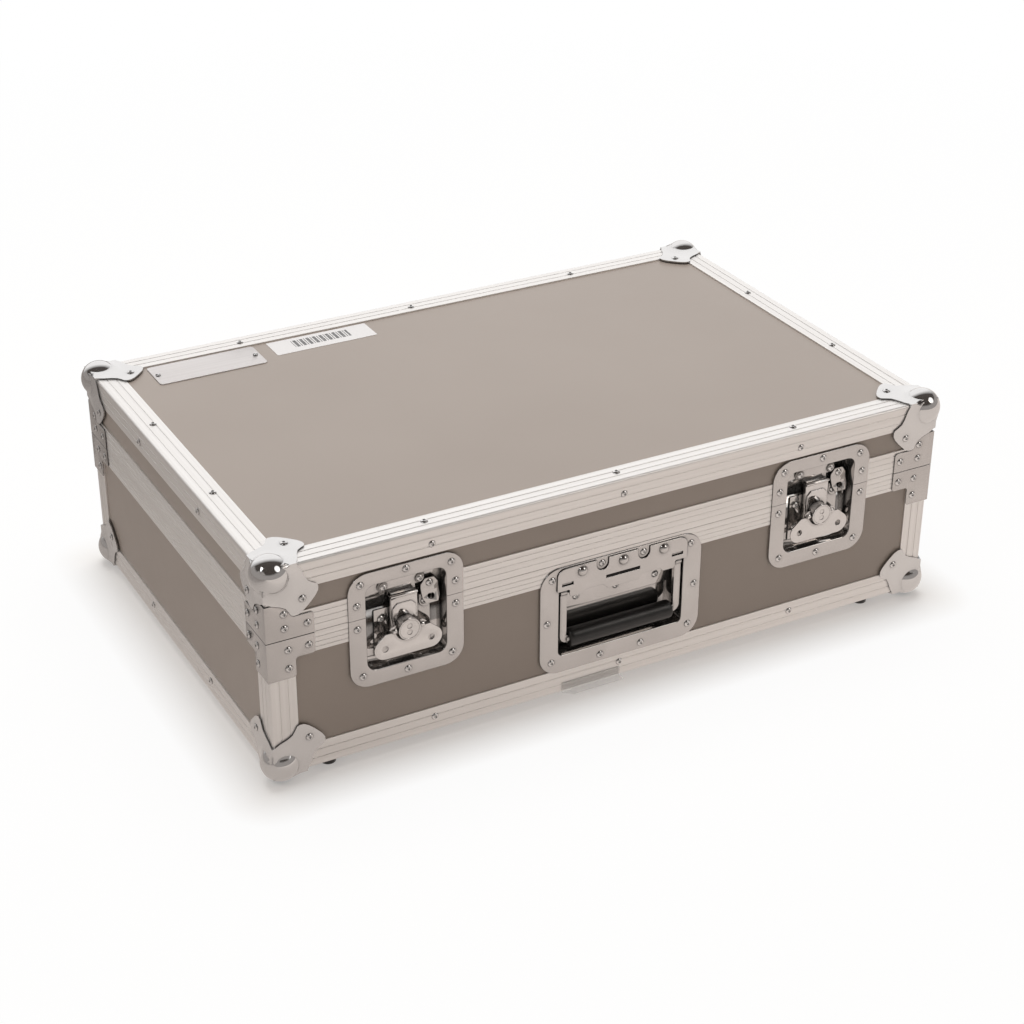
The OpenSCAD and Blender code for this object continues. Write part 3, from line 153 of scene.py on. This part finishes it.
def laminate():
    made, tree, shader = material("laminate_board")
    place = place_vector(tree)
    clouds = noise(tree, place, scale=5.0, detail=4.0)
    patches = noise(tree, place, scale=40.0)
    grain = noise(tree, place, scale=1600.0, detail=2.0)
    taupe = ((0.288, 0.242, 0.211), (0.306, 0.259, 0.227))
    link(tree, ramp(tree, clouds, taupe, start=0.3, end=0.7), shader, "Base Color")
    link(tree, spread(tree, patches, low=0.30, high=0.38), shader, "Roughness")
    link(tree, bump(tree, grain, strength=0.12, distance=0.2 * mm), shader, "Normal")
    shader.inputs["Specular IOR Level"].default_value = 0.5
    return made


def drawn_metal(name, along, colours, rough=(0.3, 0.42), lines=0.25):
    """Extruded or rolled metal with fine lines that run along one axis."""
    stretch_share, broad_share = 0.004, 0.6
    edge_round = 0.45 * mm
    made, tree, shader = material(name)
    streaks = place_vector(tree, [stretch_share if axis == along else 1.0 for axis in "XYZ"])
    broad = noise(tree, streaks, scale=260.0)
    thin = noise(tree, streaks, scale=2200.0, detail=2.0)
    worn = add(tree, "ShaderNodeBevel", {"samples": 6}, Radius=edge_round).outputs["Normal"]
    worn = bump(tree, broad, strength=lines * broad_share, distance=0.3 * mm, normal=worn)
    link(tree, ramp(tree, broad, colours, start=0.3, end=0.72), shader, "Base Color")
    link(tree, spread(tree, thin, *rough), shader, "Roughness")
    link(tree, bump(tree, thin, strength=lines, distance=0.1 * mm, normal=worn), shader, "Normal")
    shader.inputs["Metallic"].default_value = 0.8
    return made


def shade_gaps(tree, colour, reach, darkest):
    """Paints shade into a colour where the surface sits in a gap or under an edge."""
    crack = 1.3 * mm
    wide_power, crack_power = 2.2, 1.6
    for gap, power in ((reach, wide_power), (crack, crack_power)):
        node = add(tree, "ShaderNodeAmbientOcclusion", {"samples": 4}, Distance=gap)
        open_share = reckon(tree, "POWER", node.outputs["AO"], power)
        colour = scaled(tree, colour, spread(tree, open_share, low=darkest, high=1.0))
    return colour


def shade_box(tree, colour, place, centre, half):
    """Paints shade into a colour inside an upright box."""
    unlit_share = 0.06
    fade = 0.5 * mm
    off = reckon_vector(tree, "ABSOLUTE", reckon_vector(tree, "SUBTRACT", place, centre))
    off = add(tree, "ShaderNodeSeparateXYZ", Vector=reckon_vector(tree, "SUBTRACT", off, half))
    outside = reckon(tree, "MAXIMUM", off.outputs["X"], off.outputs["Z"])
    return scaled(tree, colour, spread(tree, outside, low=unlit_share, high=1.0, end=fade))


def bright_metal(name, colours, rough, scratch=0.05, darkest=0.06, reach=5 * mm, unlit=None):
    """Plated metal, with shade painted into its gaps and under its edges, down to the darkest share within the
    reach. The unlit box is a place behind a slot that no light gets to, where shade is painted in.
    """
    scratch_stretch = (1.0, 0.15, 0.4)
    made, tree, shader = material(name)
    place = place_vector(tree)
    clouds = noise(tree, place, scale=30.0, detail=4.0)
    colour = ramp(tree, clouds, colours, start=0.3, end=0.7)
    if unlit:
        colour = shade_box(tree, colour, place, *unlit)
    patches = noise(tree, place, scale=140.0, detail=5.0, roughness=0.65)
    marks = noise(tree, place_vector(tree, scratch_stretch), scale=700.0, detail=2.0)
    link(tree, shade_gaps(tree, colour, reach, darkest), shader, "Base Color")
    link(tree, spread(tree, patches, *rough), shader, "Roughness")
    link(tree, bump(tree, marks, strength=scratch, distance=0.08 * mm), shader, "Normal")
    shader.inputs["Metallic"].default_value = 0.94
    return made


def rubber():
    made, tree, shader = material("moulded_rubber")
    place = place_vector(tree)
    clouds = noise(tree, place, scale=60.0, detail=4.0)
    patches = noise(tree, place, scale=220.0, detail=4.0)
    grain = noise(tree, place, scale=1100.0)
    near_black = ((0.010, 0.0095, 0.009), (0.019, 0.018, 0.0175))
    link(tree, ramp(tree, clouds, near_black, start=0.3, end=0.75), shader, "Base Color")
    link(tree, spread(tree, patches, low=0.26, high=0.42), shader, "Roughness")
    link(tree, bump(tree, grain, strength=0.2, distance=0.2 * mm), shader, "Normal")
    return made


def foam():
    made, tree, shader = material("cut_foam")
    place = place_vector(tree)
    cells = add(tree, "ShaderNodeTexVoronoi", Vector=place, Scale=620.0).outputs["Distance"]
    waves = bump(tree, noise(tree, place, scale=35.0), strength=0.3, distance=2 * mm)
    charcoal = ((0.018, 0.018, 0.019), (0.05, 0.05, 0.052))
    link(tree, ramp(tree, cells, charcoal, start=0.1, end=0.8), shader, "Base Color")
    link(tree, bump(tree, cells, strength=0.6, distance=0.7 * mm, normal=waves), shader, "Normal")
    shader.inputs["Roughness"].default_value = 0.95
    shader.inputs["Sheen Weight"].default_value = 0.2
    return made


def clear_plastic():
    """Thin clear sheet: mostly seen through, brighter towards its edges, and without a shadow."""
    ripple_stretch = (1, 0.3, 1)
    made, tree, shader = material("clear_plastic")
    ripple = noise(tree, place_vector(tree, ripple_stretch), scale=120.0, detail=2.0)
    haze = noise(tree, place_vector(tree), scale=300.0)
    link(tree, spread(tree, haze, low=0.03, high=0.12), shader, "Roughness")
    link(tree, bump(tree, ripple, strength=0.15, distance=0.4 * mm), shader, "Normal")
    shader.inputs["Base Color"].default_value = (0.93, 0.94, 0.95, 1)
    shader.inputs["Transmission Weight"].default_value = 0.4
    shader.inputs["IOR"].default_value = 1.46
    through = add(tree, "ShaderNodeBsdfTransparent", Color=(0.97, 0.97, 0.97, 1)).outputs[0]
    slant = add(tree, "ShaderNodeLayerWeight", Blend=0.35).outputs["Facing"]
    lit = reckon(tree, "SUBTRACT", 1.0, add(tree, "ShaderNodeLightPath").outputs["Is Shadow Ray"])
    share = reckon(tree, "MULTIPLY", spread(tree, slant, low=0.10, high=0.9), lit)
    both = add(tree, "ShaderNodeMixShader", Fac=share, i1=through, i2=shader.outputs[0]).outputs[0]
    link(tree, both, tree.nodes["Material Output"], "Surface")
    return made


def printed_label():
    """White paper with a block of evenly spaced bars that stand for no number."""
    margin_x, margin_below, margin_above = 24 * mm, 10 * mm, 6 * mm
    thin_pitch, thin_share = 2.4 * mm, 0.35
    wide_pitch, wide_share = 7.2 * mm, 0.86
    paper, ink = (0.655, 0.635, 0.63), (0.07, 0.07, 0.07)
    made, tree, shader = material("white_label")
    low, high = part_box("label")
    across = add(tree, "ShaderNodeSeparateXYZ", Vector=place_vector(tree))
    x, y = across.outputs["X"], across.outputs["Y"]

    def between(value, start, end):
        return reckon(tree, "MULTIPLY", reckon(tree, "GREATER_THAN", value, start),
                      reckon(tree, "LESS_THAN", value, end))

    def bars(pitch, share):
        wave = reckon(tree, "SINE", reckon(tree, "MULTIPLY", x, 2 * math.pi / pitch))
        return reckon(tree, "GREATER_THAN", wave, share)

    block = reckon(tree, "MULTIPLY", between(x, low.x + margin_x, high.x - margin_x),
                   between(y, low.y + margin_below, high.y - margin_above))
    lines = reckon(tree, "MAXIMUM", bars(thin_pitch, thin_share), bars(wide_pitch, wide_share))
    printed = reckon(tree, "MULTIPLY", block, lines)
    fibres = noise(tree, place_vector(tree), scale=900.0)
    link(tree, ramp(tree, printed, (paper, ink)), shader, "Base Color")
    link(tree, bump(tree, fibres, strength=0.1, distance=0.1 * mm), shader, "Normal")
    shader.inputs["Roughness"].default_value = 0.4
    return made


pale = ((0.775, 0.75, 0.73), (0.855, 0.835, 0.815))
silver = ((0.575, 0.557, 0.543), (0.63, 0.61, 0.597))

# Centre and half size of the unlit space behind the long slot of the handle's cover plate, where shade is
# painted into the dish's colour
cover_slot_drop = 23.7 * mm
cover_slot_unlit = ((3 * mm, 0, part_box("handle_cover_plate")[1].z - cover_slot_drop), (22 * mm, 0, 6 * mm))

finish = {
    "laminate": laminate(),
    "rail_x": drawn_metal("extrusion_lengthwise", "X", pale),
    "rail_y": drawn_metal("extrusion_endwise", "Y", pale),
    "rail_z": drawn_metal("extrusion_upright", "Z", pale),
    "brace": bright_metal("plated_steel", ((0.56, 0.54, 0.525), (0.62, 0.60, 0.585)),
                          rough=(0.16, 0.26), scratch=0.12),
    "chrome": bright_metal("chrome", silver, rough=(0.05, 0.11)),
    "ball": bright_metal("polished_chrome", ((0.68, 0.672, 0.667), (0.72, 0.712, 0.707)),
                         rough=(0.02, 0.05), scratch=0.02),
    "rivet": bright_metal("rivet_chrome", ((0.76, 0.75, 0.745), (0.82, 0.81, 0.80)),
                          rough=(0.12, 0.2), scratch=0.02, darkest=0.4),
    # Painted light: a lighter copy of the chrome with less painted gap shade, standing for the bright
    # reflections on the latch cams, wings and hooks
    "boss": bright_metal("brightened_chrome", ((0.70, 0.68, 0.665), (0.76, 0.74, 0.73)),
                         rough=(0.06, 0.12), darkest=0.45),
    # Painted shade: the handle dish's chrome copy takes deeper gap shade and a dark box behind the cover's slot
    "handle_dish": bright_metal("handle_dish_chrome", silver, rough=(0.05, 0.11),
                                reach=8 * mm, unlit=cover_slot_unlit),
    "steel": bright_metal("dark_steel", ((0.30, 0.29, 0.285), (0.40, 0.39, 0.385)),
                          rough=(0.22, 0.38), scratch=0.15),
    # Painted shade: a near-black coat for the hollows of the rivet heads, where shade falls
    "hollow": bright_metal("rivet_hollow_painted_shade", ((0.06, 0.055, 0.05), (0.11, 0.10, 0.10)),
                           rough=(0.35, 0.5), scratch=0.1),
    "plate": drawn_metal("brushed_plate", "X", ((0.62, 0.59, 0.58), (0.70, 0.67, 0.66)),
                         rough=(0.36, 0.46), lines=0.18),
    "rubber": rubber(),
    "foam": foam(),
    "label": printed_label(),
    "clear": clear_plastic(),
}


def dress(names, coat_name):
    """Puts a finish on CAD pieces."""
    for node in names.split():
        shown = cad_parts[node]
        for slot in shown.material_slots:
            slot.material = finish[coat_name]
        if not shown.material_slots:
            shown.data.materials.append(finish[coat_name])


dress("floor_panel base_front_panel base_back_panel base_left_panel base_right_panel", "laminate")
dress("top_panel lid_front_panel lid_back_panel lid_left_panel lid_right_panel", "laminate")
dress("base_long_edges base_front_band base_back_band lid_long_edges lid_front_band lid_back_band", "rail_x")
dress("base_end_edges base_end_bands lid_end_edges lid_end_bands", "rail_y")
dress("base_corner_posts lid_corner_posts", "rail_z")
dress("base_corner_braces lid_corner_braces", "brace")
dress("base_ball_corners lid_ball_corners", "ball")
dress("latch_plates base_latch_dishes lid_latch_dishes handle_cover_plate handle_bolts", "chrome")
dress("latch_keepers base_padlock_tabs lid_padlock_tabs", "chrome")
dress("handle_bail hinge_base_leaves hinge_lid_leaves", "chrome")
dress("handle_dish handle_spring_box", "handle_dish")
dress("left_latch_cam left_latch_wing left_latch_hook", "boss")
dress("right_latch_cam right_latch_wing right_latch_hook", "boss")
dress("handle_pivot_rod hinge_pins", "steel")
dress("rubber_feet", "rubber")
dress("name_plate", "plate")
dress("label", "label")
dress("clear_tab", "clear")


# Softened edges on the CAD pieces

weld_gap = 0.002 * mm
flat_angle = math.radians(0.5)


def smooth(thing, angle=32):
    for face in thing.data.polygons:
        face.use_smooth = True
    thing.data.set_sharp_from_angle(angle=math.radians(angle))


def soften(names, width_mm, segments=2, angle=32):
    for name in names.split():
        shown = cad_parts[name]
        weld = shown.modifiers.new("weld", "WELD")
        weld.merge_threshold = weld_gap
        flat = shown.modifiers.new("flat", "DECIMATE")
        flat.decimate_type = "DISSOLVE"
        flat.angle_limit = flat_angle
        edge = shown.modifiers.new("edge", "BEVEL")
        edge.width = width_mm * mm
        edge.segments = segments
        edge.limit_method = "ANGLE"
        edge.angle_limit = math.radians(angle)
        edge.use_clamp_overlap = False
        edge.harden_normals = True


soften("handle_cover_plate", width_mm=0.5, segments=3)
soften("left_latch_wing right_latch_wing latch_keepers base_padlock_tabs lid_padlock_tabs", width_mm=0.25)
soften("left_latch_cam right_latch_cam left_latch_hook right_latch_hook", width_mm=0.25)
soften("handle_spring_box name_plate", width_mm=0.25)
soften("handle_bail hinge_base_leaves hinge_lid_leaves base_corner_braces lid_corner_braces", width_mm=0.3)


# Pieces made anew

def finish_piece(shape, name, coat_name, body, stands_for=(), angle=32):
    mesh = bpy.data.meshes.new(name)
    shape.to_mesh(mesh)
    shape.free()
    piece = bpy.data.objects.new(name, mesh)
    bpy.context.scene.collection.objects.link(piece)
    mesh.materials.append(finish[coat_name])
    smooth(piece, angle)
    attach(piece, body)
    if stands_for:
        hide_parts(*stands_for)
    return piece


def merged(node):
    """A copy of a CAD node's mesh with its triangles joined."""
    shape = bmesh.new()
    shape.from_mesh(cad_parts[node].data)
    bmesh.ops.remove_doubles(shape, verts=shape.verts[:], dist=weld_gap)
    return shape


def copied(node):
    """A merged copy with its flat faces whole again."""
    shape = merged(node)
    bmesh.ops.dissolve_limit(shape, angle_limit=flat_angle, verts=shape.verts[:], edges=shape.edges[:])
    return shape


def sharp_outer(edge):
    """An edge that stands out and turns by at least this angle, in radians."""
    sharp_turn = 1.0
    return edge.is_manifold and edge.is_convex and edge.calc_face_angle() >= sharp_turn


def rounded_edges(shape, edges, width_mm, segments):
    bmesh.ops.bevel(shape, geom=edges, offset=width_mm * mm, offset_type="OFFSET", segments=segments,
                    profile=0.5, affect="EDGES", clamp_overlap=True, material=-1)


# Half the distance between the two latches
latch_x = (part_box("left_latch_cam")[0].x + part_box("left_latch_cam")[1].x) / -2


def pressed_dish(node, name, body, lip_mm, rim_mm, coat_name="chrome"):
    """A pressed dish whose opening turns inwards over a round lip."""
    front_depth, seam_reach, pair_width = 0.05 * mm, 0.5 * mm, 300 * mm
    shape = copied(node)
    front = min(v.co.y for v in shape.verts)
    low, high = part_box(node)
    # The latch dishes come as a pair in one node and are cut at the seam, where no edge is rounded
    is_pair = high.x - low.x > pair_width
    centre_z = {"base_latch_dishes": high.z, "lid_latch_dishes": low.z}.get(node, (low.z + high.z) / 2)
    lip, rim = [], []
    for edge in shape.edges:
        if not sharp_outer(edge) or max(abs(v.co.y - front) for v in edge.verts) > front_depth:
            continue
        wall = min(edge.link_faces, key=lambda face: abs(face.normal.y))
        middle = (edge.verts[0].co + edge.verts[1].co) / 2
        centre_x = math.copysign(latch_x, middle.x) if is_pair else 0.0
        outwards = wall.normal.x * (middle.x - centre_x) + wall.normal.z * (middle.z - centre_z)
        if is_pair and abs(middle.z - centre_z) < seam_reach:
            continue
        (rim if outwards > 0 else lip).append(edge)
    rounded_edges(shape, rim, rim_mm, segments=3)
    rounded_edges(shape, [edge for edge in lip if edge.is_valid], lip_mm, segments=4)
    finish_piece(shape, name, coat_name, body, [node], angle=38)


pressed_dish("base_latch_dishes", "pressed_base_latch_dishes", "base", lip_mm=1.1, rim_mm=0.5)
pressed_dish("lid_latch_dishes", "pressed_lid_latch_dishes", "lid", lip_mm=1.1, rim_mm=0.5)
pressed_dish("handle_dish", "pressed_handle_dish", "base", lip_mm=1.1, rim_mm=0.9, coat_name="handle_dish")


def foam_pad(node, name, body):
    """Cut foam with rounded long edges."""
    shortest_edge = 25 * mm
    shape = copied(node)
    long_edges = [edge for edge in shape.edges if sharp_outer(edge) and edge.calc_length() > shortest_edge]
    rounded_edges(shape, long_edges, width_mm=2.0, segments=4)
    pad = finish_piece(shape, name, "foam", body, [node])


foam_pad("floor_foam", "floor_foam_pad", "base")
foam_pad("base_wall_foam", "base_foam_lining", "base")
foam_pad("top_foam", "lid_foam_pad", "lid")
foam_pad("lid_wall_foam", "lid_foam_lining", "lid")


def islands(shape):
    """The loose pieces of a mesh, each as a list of faces."""
    left = set(shape.faces)
    while left:
        first = left.pop()
        found, border = [first], [first]
        while border:
            face = border.pop()
            for edge in face.edges:
                for other in edge.link_faces:
                    if other in left:
                        left.remove(other)
                        found.append(other)
                        border.append(other)
        yield found


def riveted(node, name, body):
    """Rivet heads with painted shade in their hollow. A screw head is not as thick as a rivet head and has
    none.
    """
    head_thick, thick_slack = 1.8 * mm, 0.1 * mm
    hollow_radius, hollow_depth = 1.32 * mm, 0.88 * mm
    shape = merged(node)
    for faces in islands(shape):
        corners = {v for f in faces for v in f.verts}
        low = [min(v.co[i] for v in corners) for i in range(3)]
        high = [max(v.co[i] for v in corners) for i in range(3)]
        size = [h - b for b, h in zip(low, high)]
        axis = size.index(min(size))
        if abs(size[axis] - head_thick) > thick_slack:
            continue
        middle = Vector([(b + h) / 2 for b, h in zip(low, high)])
        for face in faces:
            away = face.calc_center_median() - middle
            depth = abs(away[axis])
            away[axis] = 0
            # Faces in the hollow take the painted shade coat
            face.material_index = int(away.length < hollow_radius and depth < hollow_depth)
    piece = finish_piece(shape, name, "rivet", body, [node], angle=40)
    piece.data.materials.append(finish["hollow"])


riveted("base_fasteners", "base_rivets", "base")
riveted("lid_fasteners", "lid_rivets", "lid")

ball_radius = 18 * mm


def rounded_balls(node, name, body, ball_z):
    """Ball corners whose round part is shaded as one true ball."""
    round_slack, round_angle = 0.03 * mm, 0.25
    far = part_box(node)[1]
    piece = finish_piece(copied(node), name, "ball", body, [node], angle=38)
    mesh = piece.data
    normals = [corner.vector.copy() for corner in mesh.corner_normals]
    for face in mesh.polygons:
        for loop in face.loop_indices:
            point = mesh.vertices[mesh.loops[loop].vertex_index].co
            centre_x = math.copysign(far.x - ball_radius, point.x)
            centre_y = math.copysign(far.y - ball_radius, point.y)
            away = point - Vector((centre_x, centre_y, ball_z))
            if abs(away.length - ball_radius) < round_slack and face.normal.angle(away) < round_angle:
                normals[loop] = away.normalized()
    mesh.normals_split_custom_set(normals)


rounded_balls("base_ball_corners", "round_base_balls", "base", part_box("base_ball_corners")[0].z + ball_radius)
rounded_balls("lid_ball_corners", "round_lid_balls", "lid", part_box("lid_ball_corners")[1].z - ball_radius)


def grip_sleeve():
    """Soft grip: a slightly flattened bar with one lengthwise groove and rounded ends."""
    sides, stretches = 56, 48
    flat_share, flat_turn = 0.055, 0.7
    groove_share, groove_turn, groove_width = 0.07, 0.9, 0.11
    # Distance from the grip's end in mm, and the share of the full radius there
    end_steps = [(0.0, 0.80), (0.4, 0.885), (1.2, 0.945), (2.6, 0.985), (4.5, 1.0), (10.0, 0.985)]
    end_mm, bar_share = end_steps[-1]
    low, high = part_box("handle_grip")
    middle = (low + high) / 2
    half = (high.x - low.x) / 2
    long_mm = 2 * half / mm
    shape = bmesh.new()
    ring = bmesh.ops.create_circle(shape, cap_ends=True, segments=sides, radius=(high.z - low.z) / 2)
    for v in ring["verts"]:
        turn = math.atan2(v.co.y, v.co.x)
        flat = flat_share * (1 - math.cos(2 * turn + flat_turn)) / 2
        v.co *= 1.0 - flat - groove_share * math.exp(-((turn - groove_turn) / groove_width) ** 2)
    upright = Matrix.Rotation(math.pi / 2, 3, "Y")
    bmesh.ops.rotate(shape, verts=shape.verts[:], cent=(0, 0, 0), matrix=upright)
    bar_steps = [(end_mm + (long_mm - 2 * end_mm) * i / stretches, bar_share) for i in range(1, stretches)]
    stations = end_steps + bar_steps + [(long_mm - s, k) for s, k in reversed(end_steps)]
    face = ring["verts"][0].link_faces[0]
    last_place, last_share = stations[0]
    for v in face.verts:
        v.co.y *= last_share
        v.co.z *= last_share
    for place, share in stations[1:]:
        grown = bmesh.ops.extrude_face_region(shape, geom=[face])["geom"]
        if last_place > 0:
            bmesh.ops.delete(shape, geom=[face], context="FACES_ONLY")
        for v in [g for g in grown if isinstance(g, bmesh.types.BMVert)]:
            v.co.x += (place - last_place) * mm
            v.co.y *= share / last_share
            v.co.z *= share / last_share
        face = [g for g in grown if isinstance(g, bmesh.types.BMFace)][0]
        last_place, last_share = place, share
    bmesh.ops.translate(shape, verts=shape.verts[:], vec=(middle.x - half, middle.y, middle.z))
    bmesh.ops.recalc_face_normals(shape, faces=shape.faces[:])
    finish_piece(shape, "handle_grip_sleeve", "rubber", "handle", ["handle_grip"], angle=40)


grip_sleeve()


def coil(name, centre, radius, wire, turns, pitch, body, slot_name, stands_for):
    """Round wire wound about an axis that runs along the case."""
    wire_sides, steps_per_turn = 10, 28
    upright = Matrix.Rotation(math.pi / 2, 3, "X")
    lengthwise = Matrix.Rotation(math.pi / 2, 3, "Y")
    steps = steps_per_turn * turns
    shape = bmesh.new()
    bmesh.ops.create_circle(shape, cap_ends=True, segments=wire_sides, radius=wire)
    bmesh.ops.rotate(shape, verts=shape.verts[:], cent=(0, 0, 0), matrix=upright)
    bmesh.ops.translate(shape, verts=shape.verts[:], vec=(radius, 0, 0))
    bmesh.ops.spin(shape, geom=shape.verts[:] + shape.edges[:] + shape.faces[:], cent=(0, 0, 0),
                   axis=(0, 0, 1), dvec=(0, 0, pitch * turns / steps), angle=2 * math.pi * turns,
                   steps=steps, use_merge=False)
    bmesh.ops.translate(shape, verts=shape.verts[:], vec=(0, 0, -pitch * turns / 2))
    bmesh.ops.rotate(shape, verts=shape.verts[:], cent=(0, 0, 0), matrix=lengthwise)
    bmesh.ops.translate(shape, verts=shape.verts[:], vec=centre)
    bmesh.ops.recalc_face_normals(shape, faces=shape.faces[:])
    finish_piece(shape, name, slot_name, body, stands_for, angle=60)


def springs():
    wire, end_gap = 0.3 * mm, 16 * mm
    low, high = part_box("handle_springs")
    rod = (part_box("handle_pivot_rod")[0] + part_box("handle_pivot_rod")[1]) / 2
    outer = (high.z - low.z) / 2
    for name, side, stands_for in (("spring_left", -1, ["handle_springs"]), ("spring_right", 1, ())):
        middle = Vector((side * (high.x - end_gap), rod.y, rod.z))
        coil(name, middle, outer - wire, wire, turns=26, pitch=1.2 * mm,
             body="base", slot_name="steel", stands_for=stands_for)


def key_ring():
    low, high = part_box("split_ring")
    coil("double_ring", (low + high) / 2, radius=3.8 * mm, wire=0.27 * mm, turns=2, pitch=0.55 * mm,
         body="lid", slot_name="chrome", stands_for=["split_ring"])


springs()
key_ring()

# Smooth shading on the CAD pieces that still show
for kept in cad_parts.values():
    if not kept.hide_render:
        smooth(kept, angle=28)


# Floor, light and background

def studio_floor():
    """A plain pale floor with painted shade: a little darker close to the case, where the rendered shadow also
    shows, and darker and warmer towards one side in what the metal mirrors.
    """
    floor_half = 20.0
    case_half = (355 * mm, 231 * mm, 0)
    pale_way = (0.8, -0.6, 0)
    full = (1, 1, 1, 1)
    painted_mirror_colours = ((0.31, 0.28, 0.262), (0.785, 0.708, 0.66))
    floor_mesh = bpy.data.meshes.new("studio_floor")
    plane = bmesh.new()
    bmesh.ops.create_grid(plane, x_segments=1, y_segments=1, size=floor_half)
    plane.to_mesh(floor_mesh)
    plane.free()
    floor = bpy.data.objects.new("studio_floor", floor_mesh)
    bpy.context.scene.collection.objects.link(floor)
    made, tree, shader = material("studio_white")
    tree.nodes.remove(shader)
    path = add(tree, "ShaderNodeLightPath").outputs
    place = add(tree, "ShaderNodeNewGeometry").outputs["Position"]
    # Painted shade: a little less glow within two metres of the middle
    far = spread(tree, reckon_vector(tree, "LENGTH", place), low=0.92, high=1.0, start=0.5, end=2.0)
    # Painted shade: less glow close to the case, so the floor there is darker, and its rendered shadow shows as
    # well
    beside = reckon_vector(tree, "SUBTRACT", reckon_vector(tree, "ABSOLUTE", place), case_half)
    beside = reckon_vector(tree, "LENGTH", reckon_vector(tree, "MAXIMUM", beside, (0, 0, 0)))
    beside = spread(tree, beside, low=0.30, high=1.0, end=50 * mm)
    seen = reckon(tree, "MULTIPLY", path["Is Camera Ray"], beside)
    seen = reckon(tree, "MAXIMUM", seen, path["Is Glossy Ray"])
    seen = reckon(tree, "MAXIMUM", seen, path["Is Transmission Ray"])
    share = reckon(tree, "MULTIPLY", seen, far)
    # Painted reflection: in what the metal mirrors, the floor is darker and warmer towards one side
    along = reckon_vector(tree, "DOT_PRODUCT", place, pale_way)
    along = spread(tree, along, low=0.0, high=1.0, start=-0.72, end=0.30)
    painted_mirror_tint = mixed(tree, path["Is Glossy Ray"], full, ramp(tree, along, painted_mirror_colours))
    dull = add(tree, "ShaderNodeBsdfDiffuse", Color=(0.90, 0.87, 0.84, 1)).outputs[0]
    glow = add(tree, "ShaderNodeEmission", Color=painted_mirror_tint, Strength=1.0).outputs[0]
    both = add(tree, "ShaderNodeMixShader", Fac=share, i1=dull, i2=glow).outputs[0]
    link(tree, both, tree.nodes["Material Output"], "Surface")
    floor_mesh.materials.append(made)


def studio_air():
    """White for the camera, soft grey for dull pieces, and dark with pale screens for the metal to mirror."""
    black, dark = (0.0, 0.0, 0.0), (0.032, 0.023, 0.018)
    screen, pane, low_screen = (1.0, 0.99, 0.985), (1.0, 0.99, 0.98), (0.36, 0.335, 0.32)
    screen_way, pane_way = (0.25, 0.882, 0.40), (0.58, -0.52, 0.627)
    screen_power, pane_power = 1.15, 1.5
    soft_grey, full = (0.40, 0.368, 0.34, 1), (1, 1, 1, 1)
    world = bpy.data.worlds.new("studio")
    bpy.context.scene.world = world
    world.use_nodes = True
    tree = world.node_tree
    path = add(tree, "ShaderNodeLightPath").outputs
    way = add(tree, "ShaderNodeTexCoord").outputs["Generated"]
    towards = reckon_vector(tree, "DOT_PRODUCT", way, screen_way)
    behind = scaled(tree, ramp(tree, towards, (dark, screen), start=0.55, end=0.85), screen_power)
    towards = reckon_vector(tree, "DOT_PRODUCT", way, pane_way)
    beside = scaled(tree, ramp(tree, towards, (black, pane), start=0.955, end=0.972), pane_power)
    height = add(tree, "ShaderNodeSeparateXYZ", Vector=way).outputs["Z"]
    around = ramp(tree, height, (low_screen, black), start=0.34, end=0.50)
    mirrored = reckon_vector(tree, "MAXIMUM", reckon_vector(tree, "ADD", behind, beside), around)
    mirror = reckon(tree, "MAXIMUM", path["Is Glossy Ray"], path["Is Transmission Ray"])
    plain = mixed(tree, mirror, soft_grey, mirrored)
    white = mixed(tree, path["Is Camera Ray"], plain, full)
    air = tree.nodes["Background"]
    link(tree, white, air, "Color")
    air.inputs["Strength"].default_value = 1.0


def softbox(name, place, size, power, colour=(1, 1, 1), mirrored=True):
    aim = Vector((0, 0, 0.1))
    lamp = bpy.data.lights.new(name, "AREA")
    lamp.shape = "RECTANGLE"
    lamp.size, lamp.size_y = size
    lamp.energy = power
    lamp.color = colour
    thing = bpy.data.objects.new(name, lamp)
    bpy.context.scene.collection.objects.link(thing)
    thing.location = place
    thing.visible_glossy = mirrored
    thing.rotation_euler = (aim - Vector(place)).to_track_quat("-Z", "Y").to_euler()


studio_floor()
studio_air()
softbox("light_above", place=(0.2, 0.5, 2.3), size=(2.2, 1.6), power=47,
        colour=(0.955, 0.985, 1.0), mirrored=False)
softbox("light_left", place=(-2.2, -0.5, 2.3), size=(0.9, 0.9), power=10)
softbox("light_right", place=(1.65, -2.05, 2.2), size=(0.6, 0.8), power=3.5, colour=(1.0, 0.85, 0.72))
bpy.context.scene.view_settings.view_transform = "Standard"
